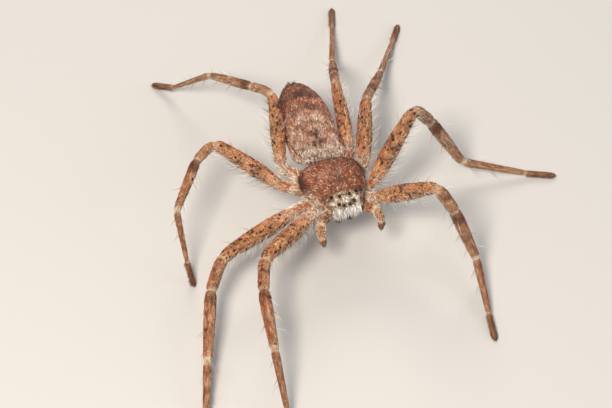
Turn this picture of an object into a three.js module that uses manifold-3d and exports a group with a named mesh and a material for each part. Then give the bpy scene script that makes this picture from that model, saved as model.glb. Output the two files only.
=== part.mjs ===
// A huntsman spider standing still on a floor, at life size.
// Millimetres, +Z up, the floor at z = 0. The head looks along -Y and the spider's left is +X.
// The body's own origin is on the floor under the middle of the carapace.
// The whole group is shifted at the end, so that its origin is under the middle of its box.

import * as THREE from "three";
import { mergeVertices } from "three/addons/utils/BufferGeometryUtils.js";
import Module from "manifold-3d";

const wasm = await Module();
wasm.setup();

// Clearances that touching pieces keep
const JOINT_GAP = 0.3;
const EYE_GAP = 0.12;

// Colour and roughness of the spider's parts
const FINISHES = {
  carapace: { color: 0x8a4526, roughness: 0.7 },
  underside: { color: 0xc79a72, roughness: 0.8 },
  abdomen: { color: 0x9c6450, roughness: 0.85 },
  eye: { color: 0x0c0a0b, roughness: 0.1 },
  chelicera: { color: 0x6e2f1c, roughness: 0.45 },
  leg: { color: 0xb9753f, roughness: 0.75 },
  foot: { color: 0x8d5d3c, roughness: 0.75 },
};

// How many sides and steps the round forms have
const CARAPACE_SIDES = 28;
const ABDOMEN_SIDES = 24;
const ABDOMEN_STEPS = 2;
const STERNUM_SIDES = 16;
const LEG_SIDES = 10;
const EYE_SIDES = 8;
const EYE_BANDS = 6;

// The carapace: cross-sections from the clypeus back to the waist.
// half is the half width, top the crown, edge the height of the rim and under the lower face.
const CARAPACE = [
  { y: -4.6, half: 1.8, top: 9.3, edge: 8.9, under: 8.65 },
  { y: -4.35, half: 2.3, top: 9.9, edge: 8.9, under: 8.5 },
  { y: -3.8, half: 2.6, top: 10.5, edge: 8.9, under: 8.45 },
  { y: -2.9, half: 3.0, top: 10.97, edge: 8.9, under: 8.45 },
  { y: -1.5, half: 3.8, top: 11.25, edge: 8.95, under: 8.5 },
  { y: 0.2, half: 4.5, top: 11.35, edge: 9.0, under: 8.6 },
  { y: 1.6, half: 4.6, top: 11.15, edge: 9.0, under: 8.6 },
  { y: 3.0, half: 4.2, top: 10.75, edge: 9.0, under: 8.6 },
  { y: 3.9, half: 3.4, top: 10.2, edge: 9.0, under: 8.65 },
  { y: 4.25, half: 2.6, top: 9.7, edge: 9.05, under: 8.85 },
];

// The abdomen, in the same words, from its blunt front to its tip
const ABDOMEN = [
  { y: 4.8, half: 2.5, top: 10.6, edge: 9.6, under: 8.8 },
  { y: 5.1, half: 3.15, top: 11.15, edge: 9.3, under: 8.15 },
  { y: 6.3, half: 3.7, top: 11.6, edge: 9.0, under: 7.1 },
  { y: 8.6, half: 3.75, top: 11.8, edge: 9.05, under: 6.3 },
  { y: 11.2, half: 3.78, top: 11.8, edge: 9.1, under: 6.4 },
  { y: 13.8, half: 3.6, top: 11.6, edge: 9.2, under: 6.8 },
  { y: 16.2, half: 3.0, top: 11.2, edge: 9.2, under: 7.3 },
  { y: 18.0, half: 2.05, top: 10.6, edge: 9.2, under: 7.9 },
  { y: 18.8, half: 1.3, top: 10.1, edge: 9.2, under: 8.4 },
  { y: 19.15, half: 0.6, top: 9.6, edge: 9.2, under: 8.8 },
];
const ABDOMEN_SWING = 4.7; // degrees that its tip is swung to the left, about the waist
const ABDOMEN_ASIDE = -0.15; // it sits this far to the right of the middle
const WAIST_Y = 4.8;

// The plate between the coxae
const STERNUM = [
  { y: -2.5, half: 0.9, top: 7.7, edge: 7.3, under: 6.8 },
  { y: -1.6, half: 1.9, top: 7.95, edge: 7.3, under: 6.6 },
  { y: 0.2, half: 2.4, top: 8.0, edge: 7.3, under: 6.5 },
  { y: 2.0, half: 2.0, top: 7.95, edge: 7.3, under: 6.6 },
  { y: 3.3, half: 1.0, top: 7.75, edge: 7.35, under: 6.9 },
];
const SECTION_POWER = 2.2;

// The eight eyes in two rows, each pair by its place on the carapace from above
const EYES = [
  { name: "front_median", x: 0.44, y: -4.26, radius: 0.21 },
  { name: "front_lateral", x: 1.08, y: -4.03, radius: 0.23 },
  { name: "rear_median", x: 0.7, y: -3.18, radius: 0.21 },
  { name: "rear_lateral", x: 1.8, y: -2.88, radius: 0.27 },
];
const EYE_RISE = 0.3; // how far an eye's centre stands out of the carapace, in radii

// Segment lengths of each pair of legs, from the hip out, and how stout the pair is
const LEG_SIZES = {
  1: { femur: 11.0, patella: 4.7, tibia: 8.8, metatarsus: 8.3, tarsus: 4.2, stout: 1.0, shank: 1.0 },
  2: { femur: 12.3, patella: 5.1, tibia: 10.4, metatarsus: 9.4, tarsus: 4.4, stout: 1.0, shank: 1.0 },
  3: { femur: 11.3, patella: 4.2, tibia: 8.6, metatarsus: 8.2, tarsus: 3.8, stout: 0.95, shank: 0.84 },
  4: { femur: 10.5, patella: 4.1, tibia: 9.1, metatarsus: 9.2, tarsus: 4.0, stout: 0.86, shank: 0.8 },
};

// How each leg stands. Headings are from straight ahead (0) out to the leg's own side (90)
// and back (180), and rises are above the level, both in degrees.
// The heading of the foot is that of metatarsus and tarsus, and the metatarsus falls as far as it must.
const LEG_POSES = [
  { side: "right", pair: 1, hip: [5.1, -3.2], heading: { femur: 57, patella: 21, tibia: 11, foot: 5 },
    rise: { femur: 12, patella: -12, tibia: -12, tarsus: -27 } },
  { side: "right", pair: 2, hip: [6.7, -1.4], heading: { femur: 74, patella: 39, tibia: 23, foot: 22 },
    rise: { femur: -3, patella: -18, tibia: -15, tarsus: -6 } },
  { side: "right", pair: 3, hip: [6.6, 3.4], heading: { femur: 139, patella: 55, tibia: 39, foot: -5 },
    rise: { femur: 17, patella: 3, tibia: -6, tarsus: -50 } },
  { side: "right", pair: 4, hip: [5.4, 6.6], heading: { femur: 192, patella: 150, tibia: 154, foot: 143 },
    rise: { femur: 38, patella: -22, tibia: -27, tarsus: -25 }, bare: ["femur_rear"] },
  { side: "left", pair: 1, hip: [4.9, -3.0], heading: { femur: 47, patella: 44, tibia: 37, foot: -10 },
    rise: { femur: 38, patella: -53, tibia: -62, tarsus: -8 } },
  { side: "left", pair: 2, hip: [5.2, -0.7], heading: { femur: 120, patella: 97, tibia: 68, foot: 68 },
    rise: { femur: 42, patella: -56, tibia: -60, tarsus: -5 } },
  { side: "left", pair: 3, hip: [5.4, 2.75], heading: { femur: 156, patella: 146, tibia: 144, foot: 144 },
    rise: { femur: 7, patella: -35, tibia: -29, tarsus: -6 }, bare: ["femur_rear"] },
  { side: "left", pair: 4, hip: [4.7, 6.15], heading: { femur: 170, patella: 160, tibia: 158, foot: 158 },
    rise: { femur: 17, patella: -32, tibia: -39, tarsus: -7 }, bare: ["femur_front", "femur_rear"] },
];
const HIP_HEIGHT = 7.8;
const COXA_ROOT = { reach: 0.32, height: 7.1 }; // the root's place as a share of the hip's, and its height
const FOOT_FLAT = 0.12; // how much of a foot's underside the floor takes away

// How far from each joint its bend starts
const BEND = { hip: 1.0, knee: 2.0, ring: 1.0, ankle: 1.3, toe: 0.9 };

// Radii along each segment of a leg of pair 1: [share of its length, radius]
const GIRTH = {
  coxa: [[0, 0.95], [0.55, 0.92], [0.75, 0.8], [0.9, 0.86], [1, 0.8]],
  femur: [[0, 0.8], [0.1, 1.0], [0.3, 1.22], [0.5, 1.24], [0.7, 1.14], [0.84, 1.0], [0.93, 0.98], [1, 0.9]],
  patella: [[0, 0.88], [0.12, 0.92], [0.3, 0.92], [0.6, 0.9], [0.85, 0.9], [1, 0.8]],
  tibia: [[0, 0.78], [0.1, 0.9], [0.3, 0.93], [0.6, 0.86], [0.84, 0.76], [0.93, 0.74], [1, 0.66]],
  metatarsus: [[0, 0.64], [0.08, 0.68], [0.35, 0.63], [0.7, 0.56], [0.9, 0.52], [1, 0.46]],
  tarsus: [[0, 0.45], [0.12, 0.49], [0.45, 0.48], [0.75, 0.5], [0.92, 0.44], [1, 0.24]],
};
const MOUTH_LOBE = { x: 0.9, y: -1.6, z: 7.0, inset: 0.1, backset: 0.35, drop: 0.05 };
const MOUTH_LOBE_GIRTH = [[0, 0.45], [0.5, 0.45], [1, 0.4]];
const WAIST = { frontY: 2.2, frontZ: 7.3, backY: 7.0, backZ: 8.8 };
const WAIST_GIRTH = [[0, 0.6], [0.5, 0.5], [1, 0.6]];
const SEGMENTS = ["femur", "patella", "tibia", "metatarsus", "tarsus"];
const LEG_DEPTH = 1.04; // a leg is this much deeper than it is wide

// The palps: places of the joints of the left one, and the radii of its two nodes
const PALP_JOINTS = { root: [2.45, -3.7, 7.75], knee: [4.0, -4.8, 8.25], wrist: [4.5, -6.35, 7.05],
  tip: [4.2, -7.0, 5.7] };
const PALP_BEND = { knee: 0.7, wrist: 0.4 };
const PALP_ARM_GIRTH = [[0, 0.46], [0.12, 0.55], [0.3, 0.61], [0.42, 0.6], [0.5, 0.6], [0.58, 0.66],
  [0.7, 0.69], [0.85, 0.64], [0.95, 0.55], [1, 0.48]];
const PALP_TARSUS_GIRTH = [[0, 0.46], [0.25, 0.52], [0.6, 0.44], [0.85, 0.3], [1, 0.16]];

// The chelicerae: heights, forward places and radii down the left one
const CHELICERA = [
  { z: 8.12, y: -3.8, wide: 0.56, deep: 0.5 },
  { z: 7.8, y: -3.84, wide: 0.71, deep: 0.64 },
  { z: 7.1, y: -3.88, wide: 0.74, deep: 0.68 },
  { z: 6.4, y: -3.84, wide: 0.63, deep: 0.58 },
  { z: 5.95, y: -3.78, wide: 0.42, deep: 0.4 },
];
const CHELICERA_X = 0.92;
const FANG = { outset: 0.1, y: -3.78, z: 6.05, inward: 0.66, back: 0.1, drop: 0.55 };
const FANG_GIRTH = [[0, 0.26], [0.6, 0.2], [1, 0.06]];

// The spinnerets: each cone by its place at the abdomen's tip
const SPINNERETS = [
  { x: 0.34, z: 8.55, length: 0.8, radius: 0.36 },
  { x: 0.28, z: 9.1, length: 0.6, radius: 0.3 },
];
const SPINNERET_GIRTH = [[0, 1], [0.8, 1], [1, 0.5]];
const SPINNERET_ROOT_Y = 18.0;
const SPINNERET_TIP_Y = 18.9;
const SPINNERET_SPREAD = 1.3;

// The strong spines of each segment, in rows along it. turn goes round the segment from its front
// side (0) over its top (90) to its rear side (180), and from and to are shares of its length.
// The named rows are left off where a neighbour lies close.
const SPINE_ROWS = {
  femur: [
    { turn: 92, from: 0.3, to: 0.78, count: 3, lean: 25 },
    { name: "femur_front", turn: 20, from: 0.5, to: 0.76, count: 2, lean: 40 },
    { name: "femur_rear", turn: 160, from: 0.58, to: 0.8, count: 2, lean: 40 },
  ],
  tibia: [
    { turn: -55, from: 0.2, to: 0.8, count: 3, lean: 42 },
    { turn: -125, from: 0.2, to: 0.8, count: 3, lean: 42 },
    { turn: 8, from: 0.4, to: 0.4, count: 1, lean: 42 },
    { turn: 172, from: 0.58, to: 0.58, count: 1, lean: 42 },
  ],
  metatarsus: [
    { turn: -50, from: 0.14, to: 0.46, count: 2, lean: 45 },
    { turn: -130, from: 0.14, to: 0.46, count: 2, lean: 45 },
  ],
};
const SPINE = { length: 1.75, least: 0.8, radius: 0.31, root: 0.45, sides: 5 };
const SPINE_VARIES = { share: 0.02, turn: 9, lean: 7, length: 0.14 };
const FLOOR_CLEARANCE = 0.35;

// The hair fringes: the locks along the lower edge of the face, and those round the abdomen's front.
// rise and outward say how the root leaves the surface, and droop how far the tip turns down.
const LOCK_TAPER = [[0, 1, 1], [0.4, 0.95, 0.9], [0.75, 0.7, 0.6], [1, 0.22, 0.25]]; // share, width, thickness
const FACE_FRINGE = { count: 7, halfWidth: 1.38, y: -4.42, z: 8.86, setBack: 0.1, length: 1.2, width: 0.56,
  thickness: 0.5, root: 0.35, forward: 0.8, drop: 0.6, fan: 0.12, tipForward: 0.35, tipDrop: 0.93 };
const BRUSH = { count: 9, y: 5.15, firstTurn: 34, lastTurn: 146, length: 1.4, width: 0.7, thickness: 0.5,
  root: 0.4, forward: 0.75, outward: 0.35, rise: 0.66, tipOutward: 0.15, tipDrop: 0 };
const LOCK_VARIES = 0.12;
const RANDOM_SEED = 20;

const rad = THREE.MathUtils.degToRad;
const vec = (x, y, z) => new THREE.Vector3(x, y, z);
const UP = vec(0, 0, 1);

// Seeded random numbers between two values
function makeRandom(seed) {
  let state = seed;
  return (low, high) => {
    state = (state * 1664525 + 1013904223) % 4294967296;
    return low + ((high - low) * state) / 4294967296;
  };
}

const between = makeRandom(RANDOM_SEED);

// A value between the rows of a table of [share, value], smooth through the rows
function along(table, share) {
  const last = table.length - 1;
  let i = 0;
  while (i < last - 1 && share > table[i + 1][0]) i += 1;
  const [x1, y1] = table[i];
  const [x2, y2] = table[i + 1];
  const slope = (a, b) => (table[b][1] - table[a][1]) / (table[b][0] - table[a][0]);
  const m1 = slope(Math.max(i - 1, 0), i + 1);
  const m2 = slope(i, Math.min(i + 2, last));
  const h = x2 - x1;
  const t = THREE.MathUtils.clamp((share - x1) / h, 0, 1);
  const t2 = t * t;
  const t3 = t2 * t;
  return (2 * t3 - 3 * t2 + 1) * y1 + (t3 - 2 * t2 + t) * h * m1 + (3 * t2 - 2 * t3) * y2 + (t3 - t2) * h * m2;
}

// The same for one named size of a list of cross-sections, at a place along Y
function sizeAt(sections, key, y) {
  return along(sections.map((s) => [s.y, s[key]]), y);
}

// A closed surface through rings of points, with a flat fan at each end
function loft(rings) {
  const sides = rings[0].length;
  const points = rings.flat();
  const faces = [];
  for (let r = 0; r + 1 < rings.length; r += 1) {
    for (let s = 0; s < sides; s += 1) {
      const a = r * sides + s;
      const b = r * sides + ((s + 1) % sides);
      faces.push([a, b, a + sides], [b, b + sides, a + sides]);
    }
  }
  for (const [ring, first] of [[rings[0], 0], [rings.at(-1), (rings.length - 1) * sides]]) {
    const middle = points.length;
    points.push(ring.reduce((sum, p) => sum.add(p), vec(0, 0, 0)).divideScalar(sides));
    for (let s = 0; s < sides; s += 1) {
      const next = first + ((s + 1) % sides);
      faces.push(first === 0 ? [middle, next, s] : [middle, first + s, next]);
    }
  }
  const geometry = new THREE.BufferGeometry().setFromPoints(points);
  geometry.setIndex(faces.flat());
  return facingOut(geometry);
}

// Turns a closed surface's faces round if they point in
function facingOut(geometry) {
  const p = geometry.getAttribute("position");
  const index = geometry.getIndex().array;
  const corner = (i) => new THREE.Vector3().fromBufferAttribute(p, index[i]);
  let volume = 0;
  for (let i = 0; i < index.length; i += 3) volume += corner(i).dot(corner(i + 1).cross(corner(i + 2)));
  if (volume < 0) geometry.setIndex(Array.from(index).reverse());
  return geometry;
}

// One ring of a body form: a rounded section with its own height above and below the rim
function bodyRing(section, sides) {
  const ring = [];
  for (let i = 0; i < sides; i += 1) {
    const turn = (2 * Math.PI * i) / sides;
    const [c, s] = [Math.cos(turn), Math.sin(turn)];
    const bulge = (v) => Math.sign(v) * Math.abs(v) ** (2 / SECTION_POWER);
    const reach = s >= 0 ? section.top - section.edge : section.edge - section.under;
    ring.push(vec(section.half * bulge(c), section.y, section.edge + reach * bulge(s)));
  }
  return ring;
}

// A body form through its cross-sections, larger all round by grow
function bodyForm(sections, sides, steps, grow = 0) {
  const keys = ["half", "top", "edge", "under"];
  const places = [];
  sections.forEach((section, i) => {
    places.push(section.y);
    const next = sections[i + 1];
    for (let k = 1; next && k < steps; k += 1) places.push(section.y + ((next.y - section.y) * k) / steps);
  });
  const [front, back] = [sections[0].y, sections.at(-1).y];
  const rings = places.map((y) => {
    const [half, top, edge, under] = keys.map((key) => sizeAt(sections, key, y));
    const stretch = grow * ((2 * (y - front)) / (back - front) - 1);
    return bodyRing({ y: y + stretch, half: half + grow, top: top + grow, edge, under: under - grow }, sides);
  });
  return loft(rings);
}

// The height of the carapace at a place seen from above
function carapaceHeight(x, y) {
  const [half, top, edge] = ["half", "top", "edge"].map((key) => sizeAt(CARAPACE, key, y));
  const inside = Math.max(0, 1 - Math.abs(x / half) ** SECTION_POWER);
  return edge + (top - edge) * inside ** (1 / SECTION_POWER);
}

// Which way the carapace faces there
function carapaceNormal(x, y) {
  const step = 0.05;
  const slopeX = (carapaceHeight(x + step, y) - carapaceHeight(x - step, y)) / (2 * step);
  const slopeY = (carapaceHeight(x, y + step) - carapaceHeight(x, y - step)) / (2 * step);
  return vec(-slopeX, -slopeY, 1).normalize();
}

// A unit vector for a heading and a rise on one side of the body
function direction(sign, heading, rise) {
  const [h, r] = [rad(heading), rad(rise)];
  return vec(sign * Math.sin(h) * Math.cos(r), -Math.cos(h) * Math.cos(r), Math.sin(r));
}

// The middle line of one segment: half of the bend at each end and a straight line between
function middleLine(before, start, end, after, bendStart, bendEnd) {
  const forward = end.clone().sub(start).normalize();
  const path = new THREE.CurvePath();
  let from = start.clone();
  if (before) {
    const back = before.clone().sub(start).normalize();
    const a = start.clone().addScaledVector(back, bendStart);
    const b = start.clone().addScaledVector(forward, bendStart);
    const top = a.clone().add(b).multiplyScalar(0.25).addScaledVector(start, 0.5);
    path.add(new THREE.QuadraticBezierCurve3(top, start.clone().lerp(b, 0.5), b));
    from = b;
  }
  if (!after) {
    path.add(new THREE.LineCurve3(from, end.clone()));
    return path;
  }
  const onward = after.clone().sub(end).normalize();
  const c = end.clone().addScaledVector(forward, -bendEnd);
  const d = end.clone().addScaledVector(onward, bendEnd);
  const top = c.clone().add(d).multiplyScalar(0.25).addScaledVector(end, 0.5);
  path.add(new THREE.LineCurve3(from, c));
  path.add(new THREE.QuadraticBezierCurve3(c, end.clone().lerp(c, 0.5), top));
  return path;
}

// A frame across a middle line: the point, the way on, the way across and the way up
function frameAt(path, share) {
  const point = path.getPoint(share);
  const ahead = path.getTangent(share);
  const across = ahead.clone().cross(UP).normalize();
  return { point, ahead, across, over: across.clone().cross(ahead) };
}

// A round limb along a middle line. Where an end meets the next segment, its face is moved back
// by half the gap, so that the two faces are parallel.
function limb(path, girth, scale, meets = { start: false, end: false }) {
  const rings = girth.map(([share, radius]) => {
    const { point, ahead, across, over } = frameAt(path, share);
    if (share === 0 && meets.start) point.addScaledVector(ahead, JOINT_GAP / 2);
    if (share === 1 && meets.end) point.addScaledVector(ahead, -JOINT_GAP / 2);
    const ring = [];
    for (let i = 0; i < LEG_SIDES; i += 1) {
      const turn = (2 * Math.PI * i) / LEG_SIDES;
      ring.push(point.clone().addScaledVector(across, radius * scale * Math.cos(turn))
        .addScaledVector(over, radius * scale * LEG_DEPTH * Math.sin(turn)));
    }
    return ring;
  });
  return loft(rings);
}

// One spine: a cone from its base on the surface, with its root sunk in
function spike(base, way, length) {
  const height = length + SPINE.root;
  const cone = new THREE.ConeGeometry(SPINE.radius, height, SPINE.sides, 1).translate(0, height / 2, 0);
  cone.applyQuaternion(new THREE.Quaternion().setFromUnitVectors(vec(0, 1, 0), way));
  const root = base.clone().addScaledVector(way, -SPINE.root);
  return cone.translate(root.x, root.y, root.z);
}

// One row of spines along a segment, leaning towards its far end and ending clear of the floor
function spineRow(path, girth, scale, sign, row) {
  const spines = [];
  for (let i = 0; i < row.count; i += 1) {
    const step = row.count > 1 ? i / (row.count - 1) : 0;
    const share = row.from + (row.to - row.from) * step + between(-SPINE_VARIES.share, SPINE_VARIES.share);
    const turn = rad(row.turn + between(-SPINE_VARIES.turn, SPINE_VARIES.turn));
    const lean = rad(row.lean + between(-SPINE_VARIES.lean, SPINE_VARIES.lean));
    const { point, ahead, across, over } = frameAt(path, share);
    const [front, high] = [sign * Math.cos(turn), Math.sin(turn)];
    const radius = along(girth, share) * scale;
    const base = point.clone().addScaledVector(across, radius * front)
      .addScaledVector(over, radius * LEG_DEPTH * high);
    const way = across.clone().multiplyScalar(front * Math.cos(lean))
      .addScaledVector(over, high * Math.cos(lean)).addScaledVector(ahead, Math.sin(lean)).normalize();
    const room = way.z < 0 ? (base.z - FLOOR_CLEARANCE) / -way.z : Infinity;
    const wanted = SPINE.length * between(1 - SPINE_VARIES.length, 1 + SPINE_VARIES.length);
    const length = Math.min(wanted, room);
    if (length > SPINE.least) spines.push(spike(base, way, length));
  }
  return spines;
}

// One flat tapered lock: it leaves its base one way and its tip turns another way
function lock(base, from, to, size) {
  const length = size.length * between(1 - LOCK_VARIES, 1 + LOCK_VARIES);
  const start = base.clone().addScaledVector(from, -size.root);
  const bend = base.clone().addScaledVector(from, length / 2);
  const path = new THREE.QuadraticBezierCurve3(start, bend, bend.clone().addScaledVector(to, length / 2));
  const rings = LOCK_TAPER.map(([share, wide, thick]) => {
    const { point, across, over } = frameAt(path, share);
    const [w, t] = [(size.width * wide) / 2, (size.thickness * thick) / 2];
    return [[w, t], [-w, t], [-w, -t], [w, -t]].map(([a, b]) => (
      point.clone().addScaledVector(across, a).addScaledVector(over, b)));
  });
  return loft(rings);
}

// The bristles along the lower edge of the face, pointing forward and down
function faceFringe() {
  const f = FACE_FRINGE;
  const locks = [];
  for (let i = 0; i < f.count; i += 1) {
    const side = (2 * i) / (f.count - 1) - 1;
    const x = side * f.halfWidth;
    const base = vec(x, f.y + f.setBack * side * side, f.z);
    const from = vec(f.fan * x, -f.forward, -f.drop).normalize();
    const to = vec(f.fan * x, -f.tipForward, -f.tipDrop).normalize();
    locks.push(lock(base, from, to, f));
  }
  return locks;
}

// The brush of pale hair round the abdomen's front, reaching over the back of the carapace
function abdomenBrush() {
  const b = BRUSH;
  const [half, top, edge] = ["half", "top", "edge"].map((key) => sizeAt(ABDOMEN, key, b.y));
  const locks = [];
  for (let i = 0; i < b.count; i += 1) {
    const turn = rad(b.firstTurn + ((b.lastTurn - b.firstTurn) * i) / (b.count - 1));
    const [c, s] = [Math.cos(turn), Math.sin(turn)];
    const bulge = (v) => Math.sign(v) * Math.abs(v) ** (2 / SECTION_POWER);
    const base = vec(half * bulge(c), b.y, edge + (top - edge) * bulge(s));
    const from = vec(b.outward * c, -b.forward, b.rise * s).normalize();
    const to = vec(b.tipOutward * c, -1, -b.tipDrop).normalize();
    locks.push(lock(base, from, to, b));
  }
  return locks;
}

// Lays whatever is below the floor flat on it
function restOnFloor(geometry) {
  const p = geometry.getAttribute("position");
  for (let i = 0; i < p.count; i += 1) p.setZ(i, Math.max(p.getZ(i), 0));
  return geometry;
}

// Between three.js surfaces and solids that can be joined and cut
function toSolid(geometry) {
  const bare = geometry.clone();
  bare.deleteAttribute("normal");
  bare.deleteAttribute("uv");
  const merged = mergeVertices(bare);
  return new wasm.Manifold(new wasm.Mesh({
    numProp: 3,
    vertProperties: new Float32Array(merged.getAttribute("position").array),
    triVerts: new Uint32Array(merged.getIndex().array),
  }));
}

function toGeometry(solid) {
  const largest = solid.decompose().sort((a, b) => b.volume() - a.volume())[0];
  const mesh = largest.getMesh();
  const geometry = new THREE.BufferGeometry();
  geometry.setAttribute("position", new THREE.BufferAttribute(mesh.vertProperties, mesh.numProp));
  geometry.setIndex(new THREE.BufferAttribute(mesh.triVerts, 1));
  return geometry;
}

const join = (pieces) => toGeometry(pieces.map(toSolid).reduce((a, b) => a.add(b)));
const cut = (piece, tools) => toGeometry(tools.map(toSolid).reduce((a, b) => a.subtract(b), toSolid(piece)));

function node(name, geometry, finish, origin = vec(0, 0, 0)) {
  const material = new THREE.MeshStandardMaterial({ ...finish, metalness: 0 });
  const local = geometry.clone().translate(-origin.x, -origin.y, -origin.z);
  const mesh = new THREE.Mesh(local, material);
  mesh.name = name;
  mesh.position.copy(origin);
  return mesh;
}

// How high the tip of a foot's middle line is, so that the floor flattens the foot's underside
function footHeight(length, rise) {
  const depths = GIRTH.tarsus.map(([share, radius]) => (
    radius * LEG_DEPTH * Math.cos(rise) + (1 - share) * length * Math.sin(rise)));
  return Math.max(...depths) - FOOT_FLAT;
}

// The joints of one leg, from the coxa's root to the tip of the foot
function legJoints(pose) {
  const sign = pose.side === "left" ? 1 : -1;
  const size = LEG_SIZES[pose.pair];
  const { heading, rise } = pose;
  const [hipX, hipY] = [sign * pose.hip[0], pose.hip[1]];
  const root = vec(hipX * COXA_ROOT.reach, hipY * COXA_ROOT.reach, COXA_ROOT.height);
  const hip = vec(hipX, hipY, HIP_HEIGHT);
  const knee = hip.clone().addScaledVector(direction(sign, heading.femur, rise.femur), size.femur);
  const ring = knee.clone().addScaledVector(direction(sign, heading.patella, rise.patella), size.patella);
  const ankle = ring.clone().addScaledVector(direction(sign, heading.tibia, rise.tibia), size.tibia);
  const toeHeight = footHeight(size.tarsus, rad(rise.tarsus)) - size.tarsus * Math.sin(rad(rise.tarsus));
  const fall = THREE.MathUtils.radToDeg(Math.asin((toeHeight - ankle.z) / size.metatarsus));
  const toe = ankle.clone().addScaledVector(direction(sign, heading.foot, fall), size.metatarsus);
  const tip = toe.clone().addScaledVector(direction(sign, heading.foot, rise.tarsus), size.tarsus);
  return [root, hip, knee, ring, ankle, toe, tip];
}

const JOINT_BENDS = [0, BEND.hip, BEND.knee, BEND.ring, BEND.ankle, BEND.toe, 0];

// The middle line of segment i of a leg, where 0 is the coxa
function segmentLine(joints, i) {
  return middleLine(joints[i - 1], joints[i], joints[i + 1], joints[i + 2], JOINT_BENDS[i], JOINT_BENDS[i + 1]);
}

function makeLeg(pose) {
  const joints = legJoints(pose);
  const size = LEG_SIZES[pose.pair];
  const scales = { femur: size.stout, patella: size.shank, tibia: size.shank, metatarsus: size.shank, tarsus: 1 };
  const sign = pose.side === "left" ? 1 : -1;
  const leg = new THREE.Group();
  SEGMENTS.forEach((segment, k) => {
    const last = segment === "tarsus";
    const path = segmentLine(joints, k + 1);
    const shape = limb(path, GIRTH[segment], scales[segment], { start: true, end: !last });
    const rows = (SPINE_ROWS[segment] ?? []).filter((row) => !pose.bare?.includes(row.name));
    const spines = rows.flatMap((row) => spineRow(path, GIRTH[segment], scales[segment], sign, row));
    const geometry = last ? restOnFloor(shape) : join([shape, ...spines]);
    const finish = last ? FINISHES.foot : FINISHES.leg;
    leg.add(node(`leg_${pose.pair}_${pose.side}_${segment}`, geometry, finish, joints[k + 1]));
  });
  return leg;
}

function makeCephalothorax() {
  const sockets = [];
  for (const sign of [-1, 1]) {
    for (const eye of EYES) sockets.push(eyeBall(eye, sign, eye.radius + EYE_GAP));
  }
  const shell = join([bodyForm(CARAPACE, CARAPACE_SIDES, 1), ...faceFringe()]);
  return node("cephalothorax", cut(shell, sockets), FINISHES.carapace);
}

function eyePlace(eye, sign) {
  const [x, y] = [sign * eye.x, eye.y];
  return vec(x, y, carapaceHeight(x, y)).addScaledVector(carapaceNormal(x, y), EYE_RISE * eye.radius);
}

function eyeBall(eye, sign, radius) {
  const place = eyePlace(eye, sign);
  const ball = new THREE.SphereGeometry(radius, EYE_SIDES, EYE_BANDS).rotateX(Math.PI / 2);
  return ball.translate(place.x, place.y, place.z);
}

function makeEyes() {
  const group = new THREE.Group();
  for (const [side, sign] of [["right", -1], ["left", 1]]) {
    for (const eye of EYES) {
      const name = `eye_${eye.name}_${side}`;
      group.add(node(name, join([eyeBall(eye, sign, eye.radius)]), FINISHES.eye, eyePlace(eye, sign)));
    }
  }
  return group;
}

// The sternum with the eight coxae, the two mouth lobes and the waist, which are one piece
function makeUnderside() {
  const pieces = [bodyForm(STERNUM, STERNUM_SIDES, 1)];
  for (const pose of LEG_POSES) {
    const path = segmentLine(legJoints(pose), 0);
    pieces.push(limb(path, GIRTH.coxa, 1, { end: true }));
  }
  for (const sign of [-1, 1]) {
    const [x, y, z] = PALP_JOINTS.root;
    const tip = vec(sign * (x - MOUTH_LOBE.inset), y + MOUTH_LOBE.backset, z - MOUTH_LOBE.drop);
    const path = new THREE.LineCurve3(vec(sign * MOUTH_LOBE.x, MOUTH_LOBE.y, MOUTH_LOBE.z), tip);
    pieces.push(limb(path, MOUTH_LOBE_GIRTH, 1));
  }
  const waistFront = vec(0, WAIST.frontY, WAIST.frontZ);
  const waistBack = vec(0, WAIST.backY, WAIST.backZ);
  const waist = limb(new THREE.LineCurve3(waistFront, waistBack), WAIST_GIRTH, 1);
  const abdomen = bodyForm(ABDOMEN, ABDOMEN_SIDES, ABDOMEN_STEPS, JOINT_GAP);
  const swing = new THREE.Matrix4().makeTranslation(ABDOMEN_ASIDE, WAIST_Y, 0)
    .multiply(new THREE.Matrix4().makeRotationZ(-rad(ABDOMEN_SWING)))
    .multiply(new THREE.Matrix4().makeTranslation(0, -WAIST_Y, 0));
  pieces.push(cut(waist, [abdomen.applyMatrix4(swing)]));
  return node("sternum_and_coxae", join(pieces), FINISHES.underside);
}

function makeAbdomen() {
  const group = new THREE.Group();
  group.position.set(ABDOMEN_ASIDE, WAIST_Y, 0);
  group.rotation.z = -rad(ABDOMEN_SWING);
  const form = join([bodyForm(ABDOMEN, ABDOMEN_SIDES, ABDOMEN_STEPS), ...abdomenBrush()]);
  group.add(node("abdomen", form.translate(0, -WAIST_Y, 0), FINISHES.abdomen), makeSpinnerets());
  return group;
}

function makeSpinnerets() {
  const pieces = [];
  for (const sign of [-1, 1]) {
    for (const s of SPINNERETS) {
      const start = vec(sign * s.x, SPINNERET_ROOT_Y, s.z);
      const end = vec(sign * s.x * SPINNERET_SPREAD, SPINNERET_TIP_Y + s.length, s.z);
      pieces.push(limb(new THREE.LineCurve3(start, end), SPINNERET_GIRTH, s.radius));
    }
  }
  const clearance = bodyForm(ABDOMEN, ABDOMEN_SIDES, ABDOMEN_STEPS, JOINT_GAP);
  return node("spinnerets", cut(join(pieces), [clearance]).translate(0, -WAIST_Y, 0), FINISHES.abdomen);
}

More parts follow.
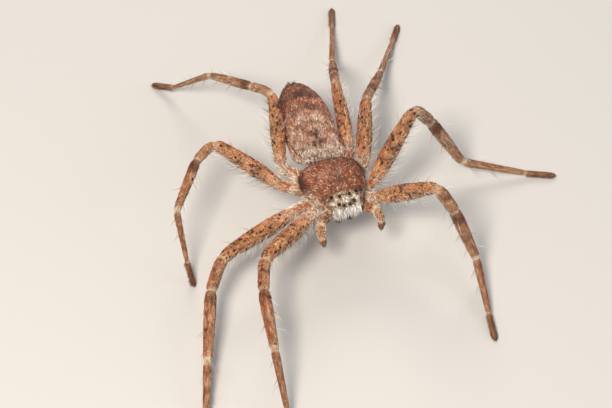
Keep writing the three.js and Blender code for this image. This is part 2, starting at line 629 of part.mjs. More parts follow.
function makeChelicera(side) {
  const sign = side === "left" ? 1 : -1;
  const rings = CHELICERA.map((row) => {
    const ring = [];
    for (let i = 0; i < LEG_SIDES; i += 1) {
      const turn = (2 * Math.PI * i) / LEG_SIDES;
      ring.push(vec(sign * CHELICERA_X + row.wide * Math.cos(turn), row.y + row.deep * Math.sin(turn), row.z));
    }
    return ring;
  });
  const x = CHELICERA_X + FANG.outset;
  const from = vec(sign * x, FANG.y, FANG.z);
  const to = vec(sign * (x - FANG.inward), FANG.y + FANG.back, FANG.z - FANG.drop);
  const fang = limb(new THREE.LineCurve3(from, to), FANG_GIRTH, 1);
  return node(`chelicera_${side}`, join([loft(rings), fang]), FINISHES.chelicera);
}

function makePalp(side) {
  const sign = side === "left" ? 1 : -1;
  const [root, knee, wrist, tip] = Object.values(PALP_JOINTS).map(([x, y, z]) => vec(sign * x, y, z));
  const upper = middleLine(null, root, knee, wrist, 0, PALP_BEND.knee);
  const lower = middleLine(root, knee, wrist, tip, PALP_BEND.knee, PALP_BEND.wrist);
  const end = middleLine(knee, wrist, tip, null, PALP_BEND.wrist, 0);
  const whole = new THREE.CurvePath();
  whole.curves = [...upper.curves, ...lower.curves];
  const arm = limb(whole, PALP_ARM_GIRTH, 1, { end: true });
  const group = new THREE.Group();
  group.add(node(`palp_${side}`, arm, FINISHES.leg, root));
  const tarsus = limb(end, PALP_TARSUS_GIRTH, 1, { start: true });
  group.add(node(`palp_${side}_tarsus`, tarsus, FINISHES.foot, wrist));
  return group;
}

function makeSpider() {
  const spider = new THREE.Group();
  spider.add(makeCephalothorax(), makeEyes(), makeUnderside(), makeAbdomen());
  for (const side of ["right", "left"]) spider.add(makeChelicera(side), makePalp(side));
  for (const pose of LEG_POSES) spider.add(makeLeg(pose));
  const middle = new THREE.Box3().setFromObject(spider).getCenter(vec(0, 0, 0));
  spider.position.set(-middle.x, -middle.y, 0);
  return spider;
}

const spider = makeSpider();
const root = new THREE.Group();
root.add(spider);

export default root;
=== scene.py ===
"""Dresses a life-size huntsman spider that stands on a pale studio floor.

Lengths in this script are millimetres in the spider's own frame, with the floor at z = 0, the head along -Y
and the spider's left along +X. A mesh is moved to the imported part's frame, in metres, as it is built.
"""

from __future__ import annotations

import logging
import math
from dataclasses import dataclass, field, fields, replace
from enum import Enum

import bpy
import numpy as np
from mathutils import Matrix, Vector
from mathutils.bvhtree import BVHTree

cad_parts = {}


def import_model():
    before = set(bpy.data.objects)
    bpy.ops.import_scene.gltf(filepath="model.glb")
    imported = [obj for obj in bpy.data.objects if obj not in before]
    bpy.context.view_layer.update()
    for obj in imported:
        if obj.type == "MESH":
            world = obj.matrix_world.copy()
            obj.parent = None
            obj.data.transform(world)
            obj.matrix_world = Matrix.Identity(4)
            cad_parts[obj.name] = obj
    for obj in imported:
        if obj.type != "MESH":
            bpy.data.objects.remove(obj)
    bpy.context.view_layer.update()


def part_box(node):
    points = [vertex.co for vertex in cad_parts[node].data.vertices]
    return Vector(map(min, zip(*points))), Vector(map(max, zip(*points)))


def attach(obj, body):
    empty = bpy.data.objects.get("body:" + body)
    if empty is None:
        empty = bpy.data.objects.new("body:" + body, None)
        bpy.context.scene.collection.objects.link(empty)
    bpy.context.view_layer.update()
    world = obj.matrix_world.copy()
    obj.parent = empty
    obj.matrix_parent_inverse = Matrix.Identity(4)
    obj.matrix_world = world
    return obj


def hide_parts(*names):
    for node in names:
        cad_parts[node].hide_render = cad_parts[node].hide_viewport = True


log = logging.getLogger("spider")

MM = 0.001
UP = np.array([0.0, 0.0, 1.0])

# Cross-sections of the body from front to back: y, half width, top, height of the rim, lower face
CARAPACE = np.array([
    (-4.6, 1.8, 9.3, 8.9, 8.65),
    (-4.35, 2.3, 9.9, 8.9, 8.5),
    (-3.8, 2.6, 10.5, 8.9, 8.45),
    (-2.9, 3.0, 10.97, 8.9, 8.45),
    (-1.5, 3.8, 11.25, 8.95, 8.5),
    (0.2, 4.5, 11.35, 9.0, 8.6),
    (1.6, 4.6, 11.15, 9.0, 8.6),
    (3.0, 4.2, 10.75, 9.0, 8.6),
    (3.9, 3.4, 10.2, 9.0, 8.65),
    (4.25, 2.6, 9.7, 9.05, 8.85),
])
ABDOMEN = np.array([
    (4.8, 2.5, 10.6, 9.6, 8.8),
    (5.1, 3.15, 11.15, 9.3, 8.15),
    (6.3, 3.7, 11.6, 9.0, 7.1),
    (8.6, 3.75, 11.8, 9.05, 6.3),
    (11.2, 3.78, 11.8, 9.1, 6.4),
    (13.8, 3.6, 11.6, 9.2, 6.8),
    (16.2, 3.0, 11.2, 9.2, 7.3),
    (18.0, 2.05, 10.6, 9.2, 7.9),
    (18.8, 1.3, 10.1, 9.2, 8.4),
    (19.15, 0.6, 9.6, 9.2, 8.8),
])
STERNUM = np.array([
    (-2.5, 0.9, 7.7, 7.3, 6.8),
    (-1.6, 1.9, 7.95, 7.3, 6.6),
    (0.2, 2.4, 8.0, 7.3, 6.5),
    (2.0, 2.0, 7.95, 7.3, 6.6),
    (3.3, 1.0, 7.75, 7.35, 6.9),
])
SECTION_POWER = 2.2
ABDOMEN_SWING = 4.7  # degrees that the abdomen's tip is swung to the spider's left
ABDOMEN_ASIDE = -0.15  # the abdomen sits this far to the right of the middle
WAIST_Y = 4.8

# The eyes of one side: x, y and radius
EYES = {
    "front_median": (0.44, -4.26, 0.21),
    "front_lateral": (1.08, -4.03, 0.23),
    "rear_median": (0.7, -3.18, 0.21),
    "rear_lateral": (1.8, -2.88, 0.27),
}

SEGMENTS = ("coxa", "femur", "patella", "tibia", "metatarsus", "tarsus")
# Lengths of a pair's femur, patella, tibia, metatarsus and tarsus, then how stout femur and shank are
LEG_SIZES = {
    1: ((11.0, 4.7, 8.8, 8.3, 4.2), 1.0, 1.0),
    2: ((12.3, 5.1, 10.4, 9.4, 4.4), 1.0, 1.0),
    3: ((11.3, 4.2, 8.6, 8.2, 3.8), 0.95, 0.84),
    4: ((10.5, 4.1, 9.1, 9.2, 4.0), 0.86, 0.8),
}
HIP_HEIGHT = 7.8
COXA_REACH = 0.32
COXA_HEIGHT = 7.1
FOOT_FLAT = 0.12
LEG_DEPTH = 1.04
BENDS = (0.0, 1.0, 2.0, 1.0, 1.3, 0.9, 0.0)  # how far from each joint its bend starts
# Radii along each segment: share of its length, radius
GIRTH = {
    "coxa": np.array([(0, 0.95), (0.55, 0.92), (0.75, 0.8), (0.9, 0.86), (1, 0.8)]),
    "femur": np.array([(0, 0.8), (0.1, 1.0), (0.3, 1.22), (0.5, 1.24), (0.7, 1.14), (0.84, 1.0), (0.93, 0.98),
                       (1, 0.9)]),
    "patella": np.array([(0, 0.88), (0.12, 0.92), (0.3, 0.92), (0.6, 0.9), (0.85, 0.9), (1, 0.8)]),
    "tibia": np.array([(0, 0.78), (0.1, 0.9), (0.3, 0.93), (0.6, 0.86), (0.84, 0.76), (0.93, 0.74),
                       (1, 0.66)]),
    "metatarsus": np.array([(0, 0.64), (0.08, 0.68), (0.35, 0.63), (0.7, 0.56), (0.9, 0.52), (1, 0.46)]),
    "tarsus": np.array([(0, 0.45), (0.12, 0.49), (0.45, 0.48), (0.75, 0.5), (0.92, 0.44), (1, 0.24)]),
}
PALP_JOINTS = ((0.9, -1.6, 7.0), (2.45, -3.7, 7.75), (4.0, -4.8, 8.25), (4.5, -6.35, 7.05), (4.2, -7.0, 5.7))
PALP_BENDS = (0.0, 0.5, 0.7, 0.4, 0.0)
# Radii along the palp's mouth lobe, femur, patella with tibia, and tarsus
PALP_GIRTH = (
    np.array([(0, 0.5), (1, 0.44)]),
    np.array([(0, 0.46), (0.25, 0.56), (0.6, 0.61), (1, 0.6)]),
    np.array([(0, 0.62), (0.2, 0.67), (0.4, 0.69), (0.7, 0.64), (1, 0.48)]),
    np.array([(0, 0.46), (0.25, 0.52), (0.6, 0.44), (0.85, 0.3), (1, 0.16)]),
)
# The chelicera from its root down: z, y, half width, half depth
CHELICERA = np.array([
    (8.9, -3.75, 0.5, 0.45),
    (8.12, -3.8, 0.62, 0.56),
    (7.8, -3.84, 0.71, 0.64),
    (7.1, -3.88, 0.74, 0.68),
    (6.4, -3.84, 0.63, 0.58),
    (5.95, -3.78, 0.42, 0.4),
])
CHELICERA_X = 0.92
# The waist as a tube: its two ends and its radius
WAIST = ((0.0, 2.2, 7.3), (0.0, 7.0, 8.8), 0.55)
# The spinnerets of one side: x, z, length and radius
SPINNERETS = ((0.34, 8.55, 0.8, 0.34), (0.28, 9.1, 0.6, 0.28))
SPINNERET_ROOT_Y = 18.0
SPINNERET_FOOT_Y = 18.9  # where its own length begins
SPINNERET_SPREAD = 1.3  # how much further aside its tip is than its root
TUBE_TAPER = 0.55  # the radius of a spinneret's tip as a share of its root's

# Relief of the carapace: the pit behind its middle and the grooves that run out from near it
PIT_Y = 1.5
PIT_REACH = (0.16, 0.75)  # to the sides, and to front and back
PIT_DEPTH = 0.3
GROOVE_BEARINGS = (42, 82, 118, 150)  # degrees from straight ahead, on each side
GROOVE_CENTRE_Y = 1.2
GROOVE_WIDTH = 0.28
GROOVE_DEPTH = 0.11
# The muscle dimples of one side of the abdomen: x and y
ABDOMEN_DIMPLES = ((0.75, 8.3), (0.95, 10.6), (1.0, 13.0))
DIMPLE_REACH = 0.26
DIMPLE_DEPTH = 0.12
JOINT_NICK = 0.1  # how much a limb narrows at each joint
JOINT_NICK_REACH = 0.035  # how far that reaches, as a share of a segment

# How far the skin lies inside the solid, whose outline stands for the tips of the short coat
COAT_DEPTH = 0.12
CARAPACE_COAT_DEPTH = 0.1
ABDOMEN_COAT_DEPTH = 0.18
PALP_COAT_DEPTH = 0.07
CHELICERA_COAT_DEPTH = 0.04
VOXEL = 0.14  # spacing of the skin's mesh


class Side(Enum):
    """The side of the spider that a limb is on, with the sign of its x."""

    RIGHT = -1
    LEFT = 1


class Region(Enum):
    """A stretch of the skin with its own colours and coat."""

    CARAPACE = 0
    ABDOMEN = 1
    UNDERSIDE = 2
    LEG = 3
    PALP = 4
    CHELICERA = 5
    SPINNERET = 6


@dataclass(frozen=True)
class LegPose:
    """How one leg stands: headings from straight ahead (0) round to straight back (180), and rises."""

    side: Side
    pair: int
    hip: tuple[float, float]
    heading: tuple[float, float, float, float]  # femur, patella, tibia, foot
    rise: tuple[float, float, float, float]  # femur, patella, tibia, tarsus
    bare: tuple[str, ...] = ()  # rows of spines that it has no room for

    @property
    def name(self) -> str:
        """The leg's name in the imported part."""
        return f"leg_{self.pair}_{self.side.name.lower()}"


LEG_POSES = (
    LegPose(Side.RIGHT, 1, (5.1, -3.2), (57, 21, 11, 5), (12, -12, -12, -27)),
    LegPose(Side.RIGHT, 2, (6.7, -1.4), (74, 39, 23, 22), (-3, -18, -15, -6)),
    LegPose(Side.RIGHT, 3, (6.6, 3.4), (139, 55, 39, -5), (17, 3, -6, -50)),
    LegPose(Side.RIGHT, 4, (5.4, 6.6), (192, 150, 154, 143), (38, -22, -27, -25), ("femur_rear",)),
    LegPose(Side.LEFT, 1, (4.9, -3.0), (47, 44, 37, -10), (38, -53, -62, -8)),
    LegPose(Side.LEFT, 2, (5.2, -0.7), (120, 97, 68, 68), (42, -56, -60, -5)),
    LegPose(Side.LEFT, 3, (5.4, 2.75), (156, 146, 144, 144), (7, -35, -29, -6), ("femur_rear",)),
    LegPose(Side.LEFT, 4, (4.7, 6.15), (170, 160, 158, 158), (17, -32, -39, -7),
            ("femur_front", "femur_rear")),
)


def linear(code: str) -> tuple[float, float, float, float]:
    """Turns an sRGB hex colour to the linear colour that a shader takes.

    Args:
        code: Six hex digits after a hash sign.

    Returns:
        Red, green, blue and an alpha of 1.
    """
    parts = [int(code[i:i + 2], 16) / 255 for i in (1, 3, 5)]
    flat = [c / 12.92 if c <= 0.04045 else ((c + 0.055) / 1.055) ** 2.4 for c in parts]
    return (*flat, 1.0)


def along(table: np.ndarray, at: np.ndarray | float) -> np.ndarray:
    """Reads a table smoothly between its rows.

    Args:
        table: Rows of a place and one or more values.
        at: The places to read at.

    Returns:
        The values at those places, with one row a place where the table has several columns.
    """
    xs, ys = table[:, 0], table[:, 1:]
    at = np.clip(np.atleast_1d(np.asarray(at, float)), xs[0], xs[-1])
    i = np.clip(np.searchsorted(xs, at, side="right") - 1, 0, len(xs) - 2)
    slopes = np.empty_like(ys)
    slopes[0] = (ys[1] - ys[0]) / (xs[1] - xs[0])
    slopes[-1] = (ys[-1] - ys[-2]) / (xs[-1] - xs[-2])
    slopes[1:-1] = (ys[2:] - ys[:-2]) / (xs[2:] - xs[:-2])[:, None]
    h = (xs[i + 1] - xs[i])[:, None]
    t = (at - xs[i])[:, None] / h
    value = ((2 * t**3 - 3 * t**2 + 1) * ys[i] + (t**3 - 2 * t**2 + t) * h * slopes[i]
             + (3 * t**2 - 2 * t**3) * ys[i + 1] + (t**3 - t**2) * h * slopes[i + 1])
    return value[:, 0] if ys.shape[1] == 1 else value


def unit(v: np.ndarray) -> np.ndarray:
    """Scales vectors, in the last axis, to length 1."""
    return v / np.maximum(np.linalg.norm(v, axis=-1, keepdims=True), 1e-9)


def between(at: np.ndarray, places: np.ndarray, vectors: np.ndarray) -> np.ndarray:
    """Reads a line of vectors in three axes straight between their places."""
    return np.stack([np.interp(at, places, vectors[:, k]) for k in range(3)], 1)


def circle(across: np.ndarray, over: np.ndarray, sides: int) -> np.ndarray:
    """Points evenly round a circle of radius 1 about nought, in the plane of two unit vectors."""
    turn = 2 * np.pi * np.arange(sides) / sides
    return np.cos(turn)[:, None] * across + np.sin(turn)[:, None] * over


def tube_faces(rings: int, sides: int) -> np.ndarray:
    """The faces of a tube that is closed with a fan at each end.

    Args:
        rings: How many rings of points it has. Its points are the rings in order, then the middle of its
            first end and the middle of its last.
        sides: How many points each ring has.

    Returns:
        The corners of its triangles.
    """
    ring, side = np.meshgrid(np.arange(rings - 1), np.arange(sides), indexing="ij")
    a = (ring * sides + side).ravel()
    b = (ring * sides + (side + 1) % sides).ravel()
    around = np.arange(sides)
    following = (around + 1) % sides
    first, last = rings * sides, rings * sides + 1
    base = (rings - 1) * sides
    return np.vstack([
        np.stack([a, b, a + sides], 1),
        np.stack([b, b + sides, a + sides], 1),
        np.stack([np.full(sides, first), following, around], 1),
        np.stack([np.full(sides, last), base + around, base + following], 1),
    ])


def joined(parts: list[tuple[np.ndarray, np.ndarray]]) -> tuple[np.ndarray, np.ndarray]:
    """Puts several surfaces into one.

    Args:
        parts: The points and the faces of each.

    Returns:
        The points and the faces of all of them.
    """
    starts = np.cumsum([0] + [len(points) for points, _ in parts[:-1]])
    moved = [faces + start for (_, faces), start in zip(parts, starts)]
    return np.vstack([points for points, _ in parts]), np.vstack(moved)


def smooth(low: float, high: float, value: np.ndarray) -> np.ndarray:
    """Rises smoothly from 0 at low to 1 at high, or falls where high is the lower one."""
    t = np.clip((value - low) / (high - low), 0, 1)
    return t * t * (3 - 2 * t)


def bump_at(value: np.ndarray, middle: float, reach: float) -> np.ndarray:
    """A soft hump that is 1 at middle and fades out over reach on both sides."""
    return np.exp(-(((value - middle) / reach) ** 2))


def lattice(cells: np.ndarray, salt: int) -> np.ndarray:
    """Gives each cell of a grid a random value that is the same on every run.

    Args:
        cells: The cells' whole-number places, with the three axes last.
        salt: Picks one of many patterns.

    Returns:
        A value from 0 to 1 for each cell.
    """
    n = cells[..., 0] * 374761393 + cells[..., 1] * 668265263 + cells[..., 2] * 1440662683 + salt * 69069
    n = (n ^ (n >> 13)) * 1274126177
    n = n ^ (n >> 16)
    return (n & 0xFFFFFF) / float(0x1000000)


def cloud(points: np.ndarray, grain: float, salt: int) -> np.ndarray:
    """Soft noise from 0 to 1.

    Args:
        points: Places in millimetres.
        grain: The size of its lumps in millimetres.
        salt: Picks one of many patterns.

    Returns:
        One value a point.
    """
    place = points / grain
    cell = np.floor(place).astype(np.int64)
    t = place - cell
    t = t * t * (3 - 2 * t)
    total = np.zeros(len(points))
    for corner in np.ndindex(2, 2, 2):
        weight = np.prod(np.where(np.array(corner), t, 1 - t), axis=1)
        total += weight * lattice(cell + np.array(corner), salt)
    return total


def dots(points: np.ndarray, spacing: float, radius: float, chance: float, salt: int) -> np.ndarray:
    """Round dots strewn at random.

    Args:
        points: Places in millimetres.
        spacing: The middle distance between dots in millimetres.
        radius: The largest dot's radius in millimetres.
        chance: The share of places that have a dot.
        salt: Picks one of many patterns.

    Returns:
        1 inside a dot and 0 outside, with a soft edge.
    """
    place = points / spacing
    cell = np.floor(place).astype(np.int64)
    found = np.zeros(len(points))
    for corner in np.ndindex(3, 3, 3):
        near = cell + np.array(corner) - 1
        shift = np.stack([lattice(near, salt + k) for k in (1, 2, 3)], axis=1)
        size = radius * (0.5 + 0.5 * lattice(near, salt + 4))
        there = lattice(near, salt + 5) < chance
        distance = np.linalg.norm(near + shift - place, axis=1) * spacing
        found = np.maximum(found, there * smooth(1.0, 0.6, distance / size))
    return found


@dataclass
class Facts:
    """What is known of each of some points on the skin.

    region is the number of the Region. limb is the leg's place in LEG_POSES, 8 and 9 for the palps and -1 off
    the limbs. course counts segments along a limb, so that 1.5 is the middle of a femur. front and high, from
    -1 to 1, say how far round a limb the point is. lie is the way that the hair lies, and run is how far
    along its surface the point is.
    """

    region: np.ndarray
    limb: np.ndarray
    course: np.ndarray
    front: np.ndarray
    high: np.ndarray
    lie: np.ndarray
    run: np.ndarray

    def take(self, which: np.ndarray) -> Facts:
        """The same facts for the points that which picks."""
        return Facts(*(getattr(self, column.name)[which] for column in fields(self)))


@dataclass
class Patch:
    """One raw surface of the body before the skin is drawn over all of them."""

    region: Region
    limb: int
    points: np.ndarray
    faces: np.ndarray
    known: np.ndarray  # course, front, high, lie (3), run

    @staticmethod
    def lofted(region: Region, limb: int, rings: np.ndarray, known: np.ndarray) -> Patch:
        """Closes a surface through rings of points, with a fan at each end.

        Args:
            region: Where on the skin it is.
            limb: The limb's number, or -1.
            rings: Points by ring, side and axis.
            known: What is known, by ring, side and column.

        Returns:
            The closed patch.
        """
        points = np.vstack([rings.reshape(-1, 3), rings[0].mean(0), rings[-1].mean(0)])
        known = np.vstack([known.reshape(-1, known.shape[-1]), known[0].mean(0), known[-1].mean(0)])
        faces = tube_faces(*rings.shape[:2])
        corner = points[faces]
        volume = np.einsum("ij,ij->i", corner[:, 0], np.cross(corner[:, 1], corner[:, 2])).sum()
        if volume < 0:
            faces = faces[:, ::-1]
        return Patch(region, limb, points, faces, known)


@dataclass
class Limb:
    """A leg or palp: one smooth middle line through its joints, with a radius all along it."""

    number: int
    side: Side
    joints: list[np.ndarray]
    bends: tuple[float, ...]
    girths: tuple[np.ndarray, ...]
    scales: tuple[float, ...]
    region: Region
    start: int = 0  # the course value of its first joint
    step: float = 0.3
    line: np.ndarray = field(init=False)
    course: np.ndarray = field(init=False)

    def __post_init__(self) -> None:
        """Draws the middle line: straight lengths with a rounded bend at each joint."""
        pieces, courses = [], []
        final = len(self.joints) - 2
        for i in range(final + 1):
            begin = self.half_bend(i, first=False) if i > 0 else self.joints[i][None]
            end = self.half_bend(i + 1, first=True) if i < final else self.joints[i + 1][None]
            route = np.vstack([begin, end])
            gaps = np.linalg.norm(np.diff(route, axis=0), axis=1)
            reach = np.concatenate([[0], np.cumsum(gaps)])
            count = max(3, round(reach[-1] / self.step))
            shares = np.arange(count + (i == final)) / count
            pieces.append(between(shares * reach[-1], reach, route))
            courses.append(self.start + i + shares)
        self.line = np.vstack(pieces)
        self.course = np.concatenate(courses)

    def half_bend(self, i: int, first: bool) -> np.ndarray:
        """Draws half of the rounded bend at a joint.

        Args:
            i: The joint's number.
            first: Whether it is the half before the bend's middle, or the half after it.

        Returns:
            Points along that half.
        """
        joint, bend = self.joints[i], self.bends[i]
        a = joint + unit(self.joints[i - 1] - joint) * bend
        b = joint + unit(self.joints[i + 1] - joint) * bend
        t = (np.linspace(0, 0.5, 9) if first else np.linspace(0.5, 1, 9))[:, None]
        return (1 - t) ** 2 * a + 2 * t * (1 - t) * joint + t**2 * b

    def radius(self, course: np.ndarray) -> np.ndarray:
        """Works out how thick the solid limb is.

        Args:
            course: Places along the limb, in segments.

        Returns:
            The radius at each place.
        """
        step = course - self.start
        index = np.clip(np.floor(step + 1e-9).astype(int), 0, len(self.girths) - 1)
        found = np.zeros(len(course))
        for k, (girth, scale) in enumerate(zip(self.girths, self.scales)):
            here = index == k
            found[here] = along(girth, step[here] - k) * scale
        return found

    def frames(self, course: np.ndarray) -> tuple[np.ndarray, np.ndarray, np.ndarray, np.ndarray]:
        """Finds points of the middle line.

        Args:
            course: Places along the limb, in segments.

        Returns:
            The points, and the ways on, to the front side and up from each.
        """
        places = between(course, self.course, self.line)
        slope = unit(np.gradient(self.line, axis=0))
        ahead = unit(between(course, self.course, slope))
        across = unit(np.cross(ahead, UP))
        over = np.cross(across, ahead)
        return places, ahead, across * self.side.value, over

    def patch(self, depth: float) -> Patch:
        """The limb's raw surface, inside the solid by the coat's depth.

        Args:
            depth: The depth of the coat in millimetres.

        Returns:
            The closed surface.
        """
        sides = 24
        _, ahead, across, over = self.frames(self.course)
        radius = self.radius(self.course)
        joints = np.arange(self.start + 1, self.start + len(self.joints) - 1)
        for joint in joints:
            radius = radius * (1 - JOINT_NICK * bump_at(self.course, joint, JOINT_NICK_REACH))
        thinnest = 0.55  # the least share of the radius that is left under the coat
        radius = np.maximum(radius - depth, thinnest * radius)
        turn = 2 * np.pi * np.arange(sides) / sides
        c, s = np.cos(turn)[None, :, None], np.sin(turn)[None, :, None]
        rings = (self.line[:, None] + radius[:, None, None]
                 * (across[:, None] * c + over[:, None] * s * LEG_DEPTH))
        run = np.concatenate([[0], np.cumsum(np.linalg.norm(np.diff(self.line, axis=0), axis=1))])
        known = np.empty((*rings.shape[:2], 7))
        known[..., 0] = self.course[:, None]
        known[..., 1] = np.cos(turn)
        known[..., 2] = np.sin(turn)
        known[..., 3:6] = ahead[:, None]
        known[..., 6] = run[:, None]
        return Patch.lofted(self.region, self.number, rings, known)


def foot_height(length: float, rise: float) -> float:
    """The height of a foot's tip, so that the floor flattens its underside.

    Args:
        length: The tarsus's length.
        rise: The tarsus's rise in radians.

    Returns:
        The height of the tip of its middle line.
    """
    table = GIRTH["tarsus"]
    depths = table[:, 1] * LEG_DEPTH * math.cos(rise) + (1 - table[:, 0]) * length * math.sin(rise)
    return float(depths.max()) - FOOT_FLAT


def direction(side: Side, heading: float, rise: float) -> np.ndarray:
    """A unit vector for a heading and a rise, in degrees, on one side of the body."""
    h, r = math.radians(heading), math.radians(rise)
    return np.array([side.value * math.sin(h) * math.cos(r), -math.cos(h) * math.cos(r), math.sin(r)])


def leg_limb(number: int, pose: LegPose) -> Limb:
    """Sets out one leg from the coxa's root to the tip of the foot, standing as its pose says.

    Args:
        number: The leg's place in LEG_POSES.
        pose: How it stands.

    Returns:
        The leg, with its foot on the floor.
    """
    sizes, stout, shank = LEG_SIZES[pose.pair]
    x, y = pose.side.value * pose.hip[0], pose.hip[1]
    root = np.array([x * COXA_REACH, y * COXA_REACH, COXA_HEIGHT])
    hip = np.array([x, y, HIP_HEIGHT])
    knee = hip + direction(pose.side, pose.heading[0], pose.rise[0]) * sizes[0]
    ring = knee + direction(pose.side, pose.heading[1], pose.rise[1]) * sizes[1]
    ankle = ring + direction(pose.side, pose.heading[2], pose.rise[2]) * sizes[2]
    lift = math.radians(pose.rise[3])
    toe_height = foot_height(sizes[4], lift) - sizes[4] * math.sin(lift)
    fall = math.degrees(math.asin((toe_height - ankle[2]) / sizes[3]))
    toe = ankle + direction(pose.side, pose.heading[3], fall) * sizes[3]
    tip = toe + direction(pose.side, pose.heading[3], pose.rise[3]) * sizes[4]
    joints = [root, hip, knee, ring, ankle, toe, tip]
    girths = tuple(GIRTH[name] for name in SEGMENTS)
    scales = (1.0, stout, shank, shank, shank, 1.0)
    return Limb(number, pose.side, joints, BENDS, girths, scales, Region.LEG)


def palp_limb(number: int, side: Side) -> Limb:
    """One palp with the mouth lobe that it grows from."""
    joints = [np.array([side.value * x, y, z]) for x, y, z in PALP_JOINTS]
    return Limb(number, side, joints, PALP_BENDS, PALP_GIRTH, (1.0,) * 4, Region.PALP, step=0.12)


def superbulge(v: np.ndarray) -> np.ndarray:
    """Rounds a section a little squarer than a circle."""
    return np.sign(v) * np.abs(v) ** (2 / SECTION_POWER)


@dataclass
class BodyForm:
    """A rounded form of the body through cross-sections along Y."""

    region: Region
    sections: np.ndarray
    swing: float = 0.0
    aside: float = 0.0
    deeper: float = 0.0  # how far its lower face reaches down to meet what is under it
    sides: int = 72
    rings: int = 80

    def turn(self, points: np.ndarray) -> np.ndarray:
        """Moves points to where the form is once it is swung and set aside."""
        return self.about_waist(points, -self.swing) + np.array([self.aside, 0.0, 0.0])

    def unturn(self, points: np.ndarray) -> np.ndarray:
        """Takes points back to the form's own straight frame."""
        return self.about_waist(points - np.array([self.aside, 0.0, 0.0]), self.swing)

    @staticmethod
    def about_waist(points: np.ndarray, degrees: float) -> np.ndarray:
        """Turns points about the upright line through the waist.

        Args:
            points: The points, with the three axes last.
            degrees: The angle, with the sign that takes +X towards +Y.

        Returns:
            The turned points.
        """
        c, s = math.cos(math.radians(degrees)), math.sin(math.radians(degrees))
        x, y = points[..., 0], points[..., 1] - WAIST_Y
        moved = points.copy()
        moved[..., 0] = x * c - y * s
        moved[..., 1] = x * s + y * c + WAIST_Y
        return moved

    def lie(self, points: np.ndarray) -> np.ndarray:
        """Works out the way that hair lies on this form, before it is swung.

        Args:
            points: Places on the form.

        Returns:
            A unit vector for each place.
        """
        way = np.zeros_like(points)
        way[..., 1] = 1.0
        if self.region is Region.CARAPACE:
            way[..., 0] = 0.28 * points[..., 0]
            face = smooth(-2.2, -3.4, points[..., 1])
            way[..., 1] = 0.6 + 0.12 * points[..., 1] - 2.2 * face
            way[..., 2] = -0.3 - 0.5 * face
        return unit(way)

    def patch(self, depth: float) -> Patch:
        """The form's raw surface, inside the solid by the coat's depth.

        Args:
            depth: The depth of the coat in millimetres.

        Returns:
            The closed surface.
        """
        front, back = self.sections[0, 0], self.sections[-1, 0]
        share = 0.5 - 0.5 * np.cos(np.linspace(0, np.pi, self.rings))
        y = front + (back - front) * share
        half, top, edge, under = along(self.sections, y).T
        inset = depth * (1 - 2 * share)
        turn = 2 * np.pi * np.arange(self.sides) / self.sides
        c, s = superbulge(np.cos(turn)), superbulge(np.sin(turn))
        above, below = top - depth - edge, edge - under - depth + self.deeper
        up = np.where(s[None] >= 0, above[:, None], below[:, None])
        rings = np.empty((self.rings, self.sides, 3))
        rings[..., 0] = (half - depth)[:, None] * c
        rings[..., 1] = (y + inset)[:, None]
        rings[..., 2] = edge[:, None] + up * s
        rings = self.sculpt(rings)
        known = np.zeros((self.rings, self.sides, 7))
        known[..., 1] = np.cos(turn)
        known[..., 2] = np.sin(turn)
        pivot = np.array([0.0, WAIST_Y, 0.0])
        known[..., 3:6] = self.turn(self.lie(rings) + pivot) - pivot - np.array([self.aside, 0.0, 0.0])
        known[..., 6] = (y - front)[:, None]
        return Patch.lofted(self.region, -1, self.turn(rings), known)

    def sculpt(self, rings: np.ndarray) -> np.ndarray:
        """Adds the carapace's pit and grooves or the abdomen's dimples to its top.

        Args:
            rings: The form's points, by ring, side and axis.

        Returns:
            The points with that relief.
        """
        x, y, z = rings[..., 0], rings[..., 1], rings[..., 2]
        out = rings.copy()
        if self.region is Region.CARAPACE:
            upper = smooth(9.3, 10.2, z)
            pit = PIT_DEPTH * bump_at(x, 0, PIT_REACH[0]) * bump_at(y, PIT_Y, PIT_REACH[1])
            bearing = np.arctan2(x, -(y - GROOVE_CENTRE_Y))
            distance = np.hypot(x, y - GROOVE_CENTRE_Y)
            rays = np.zeros_like(x)
            for angle in GROOVE_BEARINGS:
                for sign in (-1, 1):
                    rays += bump_at((bearing - sign * math.radians(angle)) * distance, 0, GROOVE_WIDTH)
            rays *= GROOVE_DEPTH * smooth(0.6, 1.4, distance) * smooth(3.9, 2.6, distance)
            out[..., 2] = z - upper * (pit + rays)
        if self.region is Region.ABDOMEN:
            upper = smooth(10.0, 11.0, z)
            dimples = np.zeros_like(x)
            for place in ABDOMEN_DIMPLES:
                for sign in (-1, 1):
                    dimples += bump_at(np.hypot(x - sign * place[0], y - place[1]), 0, DIMPLE_REACH)
            out[..., 2] = z - DIMPLE_DEPTH * upper * dimples
        return out


ABDOMEN_FORM = BodyForm(Region.ABDOMEN, ABDOMEN, ABDOMEN_SWING, ABDOMEN_ASIDE)


def carapace_height(x: float, y: float) -> float:
    """The height of the solid carapace's top at a place seen from above."""
    half, top, edge, _ = along(CARAPACE, y)[0]
    return float(edge + (top - edge) * max(0.0, 1 - abs(x / half) ** SECTION_POWER) ** (1 / SECTION_POWER))


def carapace_normal(x: float, y: float) -> np.ndarray:
    """Works out which way the solid carapace's top faces at a place seen from above.

    Args:
        x: How far to the side the place is.
        y: Where it is from front to back.

    Returns:
        The unit normal there.
    """
    step = 0.05
    slope_x = (carapace_height(x + step, y) - carapace_height(x - step, y)) / (2 * step)
    slope_y = (carapace_height(x, y + step) - carapace_height(x, y - step)) / (2 * step)
    return unit(np.array([-slope_x, -slope_y, 1.0]))


